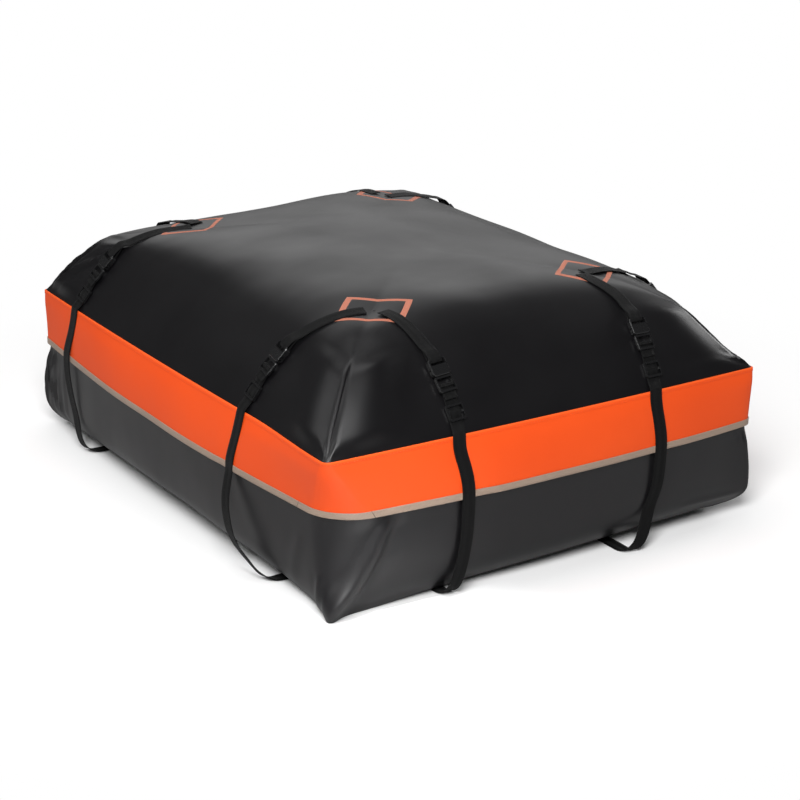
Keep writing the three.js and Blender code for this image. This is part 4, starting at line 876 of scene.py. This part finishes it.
def denser(points):
    """More points on a smooth curve through the given ones: each gap is a cubic whose end slopes are the
    mean of the neighbouring gaps' slopes. Gives the points and their run."""
    run = run_along(points)
    slopes = np.gradient(points, run, axis=0)
    places = np.linspace(0, run[-1], max(8, int(run[-1] / PATH_STEP)))
    k = np.clip(np.searchsorted(run, places, side="right") - 1, 0, len(run) - 2)
    h = (run[k + 1] - run[k])[:, None]
    t = (places - run[k])[:, None] / h
    a, b, c, d = points[k], points[k + 1], slopes[k] * h, slopes[k + 1] * h
    curve = (2 * t**3 - 3 * t**2 + 1) * a + (t**3 - 2 * t**2 + t) * c
    return curve + (3 * t**2 - 2 * t**3) * b + (t**3 - t**2) * d, places


def on_surface(piece, flat):
    """Points (n, 2) raised onto a piece's upper face, with the normals there."""
    hits = [piece.ray_cast((*(p * MM), 0.6), (0, 0, -1)) for p in flat]
    return np.array([h[1] for h in hits]) / MM, np.array([h[2] for h in hits])


def strap_rows(half, station):
    """Cross-sections of a strap's upper or lower half along its CAD solid's path, with the run, the width
    directions and the normals. The normal is the tangent crossed with the width."""
    centres, widths = solid_rows(f"strap_{half}_{station}")
    if half == "upper":
        for patch, shift in END_SHIFTS.items():
            apart = np.linalg.norm(centres[:, :2] - PATCH_AT[patch], axis=1)
            centres[:, 0] += shift * smooth((120 - apart) / 90)
    line, run = denser(centres)
    tangent = unit(np.gradient(line, run, axis=0))
    across = at_run(run, run_along(centres), widths)
    across = unit(across - tangent * np.einsum("ij,ij->i", tangent, across)[:, None])
    normal = np.cross(tangent, across)
    rows = line[:, None] + across[:, None] * web_across[None, :, None]
    rows = rows + normal[:, None] * (web_side * web_rise)[None, :, None]
    if half == "upper":
        buckle = np.mean(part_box(f"buckle_housing_{station}"), axis=0) / MM
        away = np.linalg.norm(line - buckle, axis=1)
        hits = on_surface(lid, line[:, :2])[0][:, 2]
        sunk = np.clip(line[:, 2] - hits - 2.4 - 12.0 * bell(away, 50.0), -2, 18)
        rows[:, :, 2] -= (sunk * smooth((away - 20) / 32))[:, None]
    else:
        for height, spread, dx, dy in STRAP_SHIFTS.get(station, []):
            rows[:, :, :2] += np.array([dx, dy]) * bell(line[:, 2] - height, spread)[:, None, None]
        padded = np.concatenate([np.repeat(rows[:1], 7, axis=0), rows, np.repeat(rows[-1:], 7, axis=0)])
        rounder = np.lib.stride_tricks.sliding_window_view(padded, 15, axis=0).mean(axis=3)
        rows = mix(rows, rounder, smooth((90 - rows[:, :, 2:]) / 50))
    rows[:, :, 2] = np.maximum(rows[:, :, 2], GROUND)
    return rows, run, across, normal


def webbing(name, rows, run):
    """A stretch of webbing from its cross-sections, closed at both ends."""
    piece = loft(name, rows, np.append(run, run[-1]), np.append(web_across, web_across[0]) + 13)
    piece.data.materials.append(black_webbing)
    return piece


upper_paths = {}
for station in STRAPS:
    rows, run, across, normal = strap_rows("upper", station)
    upper = webbing(f"webbing_upper_{station}", rows, run)
    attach(upper, "bag")
    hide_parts(f"strap_upper_{station}")
    upper_paths[station] = (rows.mean(axis=1), across, normal)
print(len(upper_paths), "upper straps, from the patches to the buckles")

# %% [markdown]
# When a buckle opens, its plug slides out of the housing and takes the strap's upper end along, while the
# strap's foot stays sewn under the bag, so the real strap bends between them. The tri-glide slides on it too.
# The strap is made in three stretches that meet end to end: up to the rim, into the glide, and from the glide
# to the plug.

# %% Cut each lower strap into three stretches
for station in STRAPS:
    rows, run, _, _ = strap_rows("lower", station)
    line = rows.mean(axis=1)
    glide_middle = np.mean(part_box(f"tri_glide_{station}"), axis=0) / MM
    middle = int(np.argmin(np.linalg.norm(line - glide_middle, axis=1)))
    rim = int(np.argmax(line[:, 2] > RIM_Z + 2.0))
    lower = webbing(f"webbing_lower_{station}", rows[: rim + 1], run[: rim + 1])
    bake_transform(lower)
    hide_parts(f"strap_lower_{station}")
    into = webbing(f"webbing_into_glide_{station}", rows[rim : middle + 1], run[rim : middle + 1])
    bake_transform(into)
    leaving = webbing(f"webbing_from_glide_{station}", rows[middle:], run[middle:])
    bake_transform(leaving)

# %% [markdown]
# ## The anchor patches
# At each corner of the crown a square patch is sewn on, turned by 45 degrees: a dark pad inside an orange
# woven border. They lie on the lid, so a flat grid is dropped onto it with a Shrinkwrap modifier.

# %% Patches
PATCH_SIDE, BORDER_WIDTH, PATCH_DEPTH = 113.0, 10.5, 0.78
PATCH_ROUNDING = 0.04
DROP_FROM = 520.0  # a height above the lid


def diamond_rows(half_sides, steps=24):
    """Turned squares with slightly rounded corners, a ring for each size: |x|^p + |y|^p = r^p with p near 1."""
    angle = np.linspace(0, 2 * np.pi, 4 * steps, endpoint=False)
    power = 1 + PATCH_ROUNDING
    reach = 1 / (np.abs(np.cos(angle)) ** power + np.abs(np.sin(angle)) ** power) ** (1 / power)
    size = column(half_sides) * math.sqrt(2)
    return np.stack([size * reach * np.cos(angle), size * reach * np.sin(angle)], axis=2)


def on_patch(points, centre):
    """Points about the middle of a patch, made shorter towards the bag's corner and moved to its place."""
    way = np.sign(centre) / math.sqrt(2)
    return points - (1 - PATCH_DEPTH) * (points @ way)[..., None] * way + np.array(centre)


def modify(piece, kind, **settings):
    """Adds a modifier with its settings."""
    modifier = piece.modifiers.new(kind.lower(), kind)
    for key, value in settings.items():
        setattr(modifier, key, value)


def drop_on_lid(piece, thickness, lift):
    """Projects a flat surface straight down onto the lid, lifts it and gives it a thickness."""
    modify(piece, "SHRINKWRAP", target=lid, wrap_method="PROJECT", wrap_mode="ABOVE_SURFACE", offset=lift * MM,
           use_project_z=True, use_negative_direction=True, use_positive_direction=False)
    modify(piece, "SOLIDIFY", thickness=thickness * MM, offset=1.0)
    modify(piece, "BEVEL", width=0.35 * MM, segments=2, limit_method="ANGLE")
    bpy.context.view_layer.update()
    final = bpy.data.meshes.new_from_object(piece.evaluated_get(bpy.context.evaluated_depsgraph_get()))
    piece.modifiers.clear()
    piece.data = final
    final.polygons.foreach_set("use_smooth", np.ones(len(final.polygons), bool))
    final.set_sharp_from_angle(angle=SHARP)


def flat_rings(name, half_sides, centre, closed):
    """A flat piece from rings of turned squares. If closed, the innermost ring has a point in its middle."""
    rings = on_patch(diamond_rows(half_sides), centre)
    count, ring, _ = rings.shape
    points = np.vstack([rings.reshape(-1, 2), centre])[: None if closed else -1]
    quads = grid(count, ring)[2][:, [0, 3, 2, 1]]
    j = np.arange(ring if closed else 0)
    inner = (count - 1) * ring
    fans = np.stack([inner + (j + 1) % ring, 0 * j + len(points) - 1, inner + j], axis=1)
    uv = np.concatenate([points[quads].ravel(), points[fans].ravel()])
    points = np.hstack([points, np.full((len(points), 1), DROP_FROM)])
    return mesh_object(name, points, quads.tolist() + fans.tolist(), uv)


half = PATCH_SIDE / 2
for station, centre in PATCH_AT.items():
    border = flat_rings(f"border_{station}", np.linspace(half, half - BORDER_WIDTH, 5), centre, False)
    drop_on_lid(border, 1.6, 0.4)
    finish_piece(border, "bag", "patch_border", edging, f"patch_border_{station}")
    pad = flat_rings(f"pad_{station}", np.linspace(half - BORDER_WIDTH + 1, 3, 12), centre, True)
    drop_on_lid(pad, 0.9, 0.3)
    finish_piece(pad, "bag", "lid_tarpaulin", lid_pvc, f"patch_pad_{station}")
print(len(PATCH_AT), "patches, each a border and a pad")

# %% [markdown]
# ## Stitches
# Everything on the bag is lock-stitched. Each stitch shows as a short thread that lies on the cloth and dips
# into it at both ends. It is a slim body with eight faces, and a row of them is one mesh, so thousands stay
# cheap. The real thread is 0.5 mm thick; it is drawn at 0.6 to 0.9 mm so that it shows.

# %% Stitches
TIPS = np.array([[0, 1 + (k + 1) % 4, 1 + k] for k in range(4)] + [[5, 1 + k, 1 + (k + 1) % 4] for k in range(4)])


def stitch_row(name, paths, material, slot, pitch=6.0, length=4.2, thick=0.45):
    """Stitches along paths of points (n, 3) in millimetres with normals (n, 3): each is two tips and a ring of
    four points half way, flattened onto the cloth. thick is half its width."""
    points = []
    for path, normals in paths:
        run = run_along(path)
        places = np.arange(pitch / 2, run[-1], pitch)
        start, middle, end = [at_run(places + shift, run, path) for shift in (-length / 2, 0, length / 2)]
        up = unit(at_run(places, run, normals))
        side = unit(np.cross(up, end - start))
        points.append(np.stack([start - up * 0.2, middle + side * thick, middle + up * thick * 1.3,
                                middle - side * thick, middle - up * thick * 0.5, end - up * 0.2], axis=1))
    points = np.vstack(points)
    faces = 6 * np.arange(len(points))[:, None, None] + TIPS[:, ::-1]
    row = mesh_object(name, points.reshape(-1, 3), faces.reshape(-1, 3).tolist())
    return finish_piece(row, "bag", slot, material)


def round_the_wall(z, out):
    """A closed path round the wall and its outward normals."""
    ring = wall([z, z + 1], [out, out])
    normals = outward(ring)[0]
    return np.vstack([ring[0], ring[0, :1]]), np.vstack([normals, normals[:1]])


hem_stitches = stitch_row("hem_stitches", [round_the_wall(271.0, 0.62)], orange_thread, "orange_flap")
tape_paths = [round_the_wall(z, 1.5) for z in (172.0, 180.0)]
tape_stitches = stitch_row("tape_stitches", tape_paths, tape_cloth, "reflective_tape")
paths = []
for station, centre in PATCH_AT.items():
    outline = on_patch(diamond_rows([PATCH_SIDE / 2 - BORDER_WIDTH / 2], 30)[0], centre)
    paths.append(on_surface(bpy.data.objects[f"border_{station}"], np.vstack([outline, outline[:1]])))
patch_stitches = stitch_row("patch_stitches", paths, orange_thread, "patch_border", 5.0, 3.5, 0.35)

# Each box is sewn with its outline and two diagonals: the run from the strap's end, and the place across it.
BOX_LINES = [(4, -9), (4, 9), (26, 9), (26, -9), (4, -9)], [(4, -9), (26, 9)], [(4, 9), (26, -9)]
paths = []
for line, across, normal in upper_paths.values():
    run = run_along(line)
    patch = min(PATCH_AT.values(), key=lambda c: math.dist(c, line[0, :2]))
    from_end = run if math.dist(patch, line[0, :2]) < math.dist(patch, line[-1, :2]) else run[-1] - run
    order = np.argsort(from_end)
    up = normal * np.sign(normal[:, 2:])
    for box in BOX_LINES:
        spots = np.concatenate([np.linspace(a, b, 8) for a, b in zip(box[:-1], box[1:])])
        place, side, rise = [at_run(spots[:, 0], from_end[order], part[order]) for part in (line, across, up)]
        paths.append((place + side * spots[:, 1:] + rise * 0.75, rise))
box_stitches = stitch_row("box_stitches", paths, thread, "webbing", 4.4, 3.0, 0.32)
rows = (hem_stitches, tape_stitches, patch_stitches, box_stitches)
print([len(row.data.polygons) for row in rows], "faces of thread")

# %% [markdown]
# ## Hard pieces
# The buckles, the tri-glides and the zip keep their CAD shape, because each is rigid and made to fit. They
# only need the right material.

# %% Materials of the CAD nodes
def dress(prefix, material):
    """Gives a material to every shown CAD node whose name starts with prefix, and counts them."""
    nodes = [node for name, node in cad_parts.items() if name.startswith(prefix)]
    for node in nodes:
        node.data.materials.clear()
        node.data.materials.append(material)
    return len(nodes)


print("acetal:", dress("buckle_", acetal) + dress("tri_glide_", acetal))
print("nylon:", dress("zip_tape", nylon) + dress("zip_coil", nylon))
print("zinc:", dress("zip_slider_", zinc) + dress("zip_pull_", zinc))
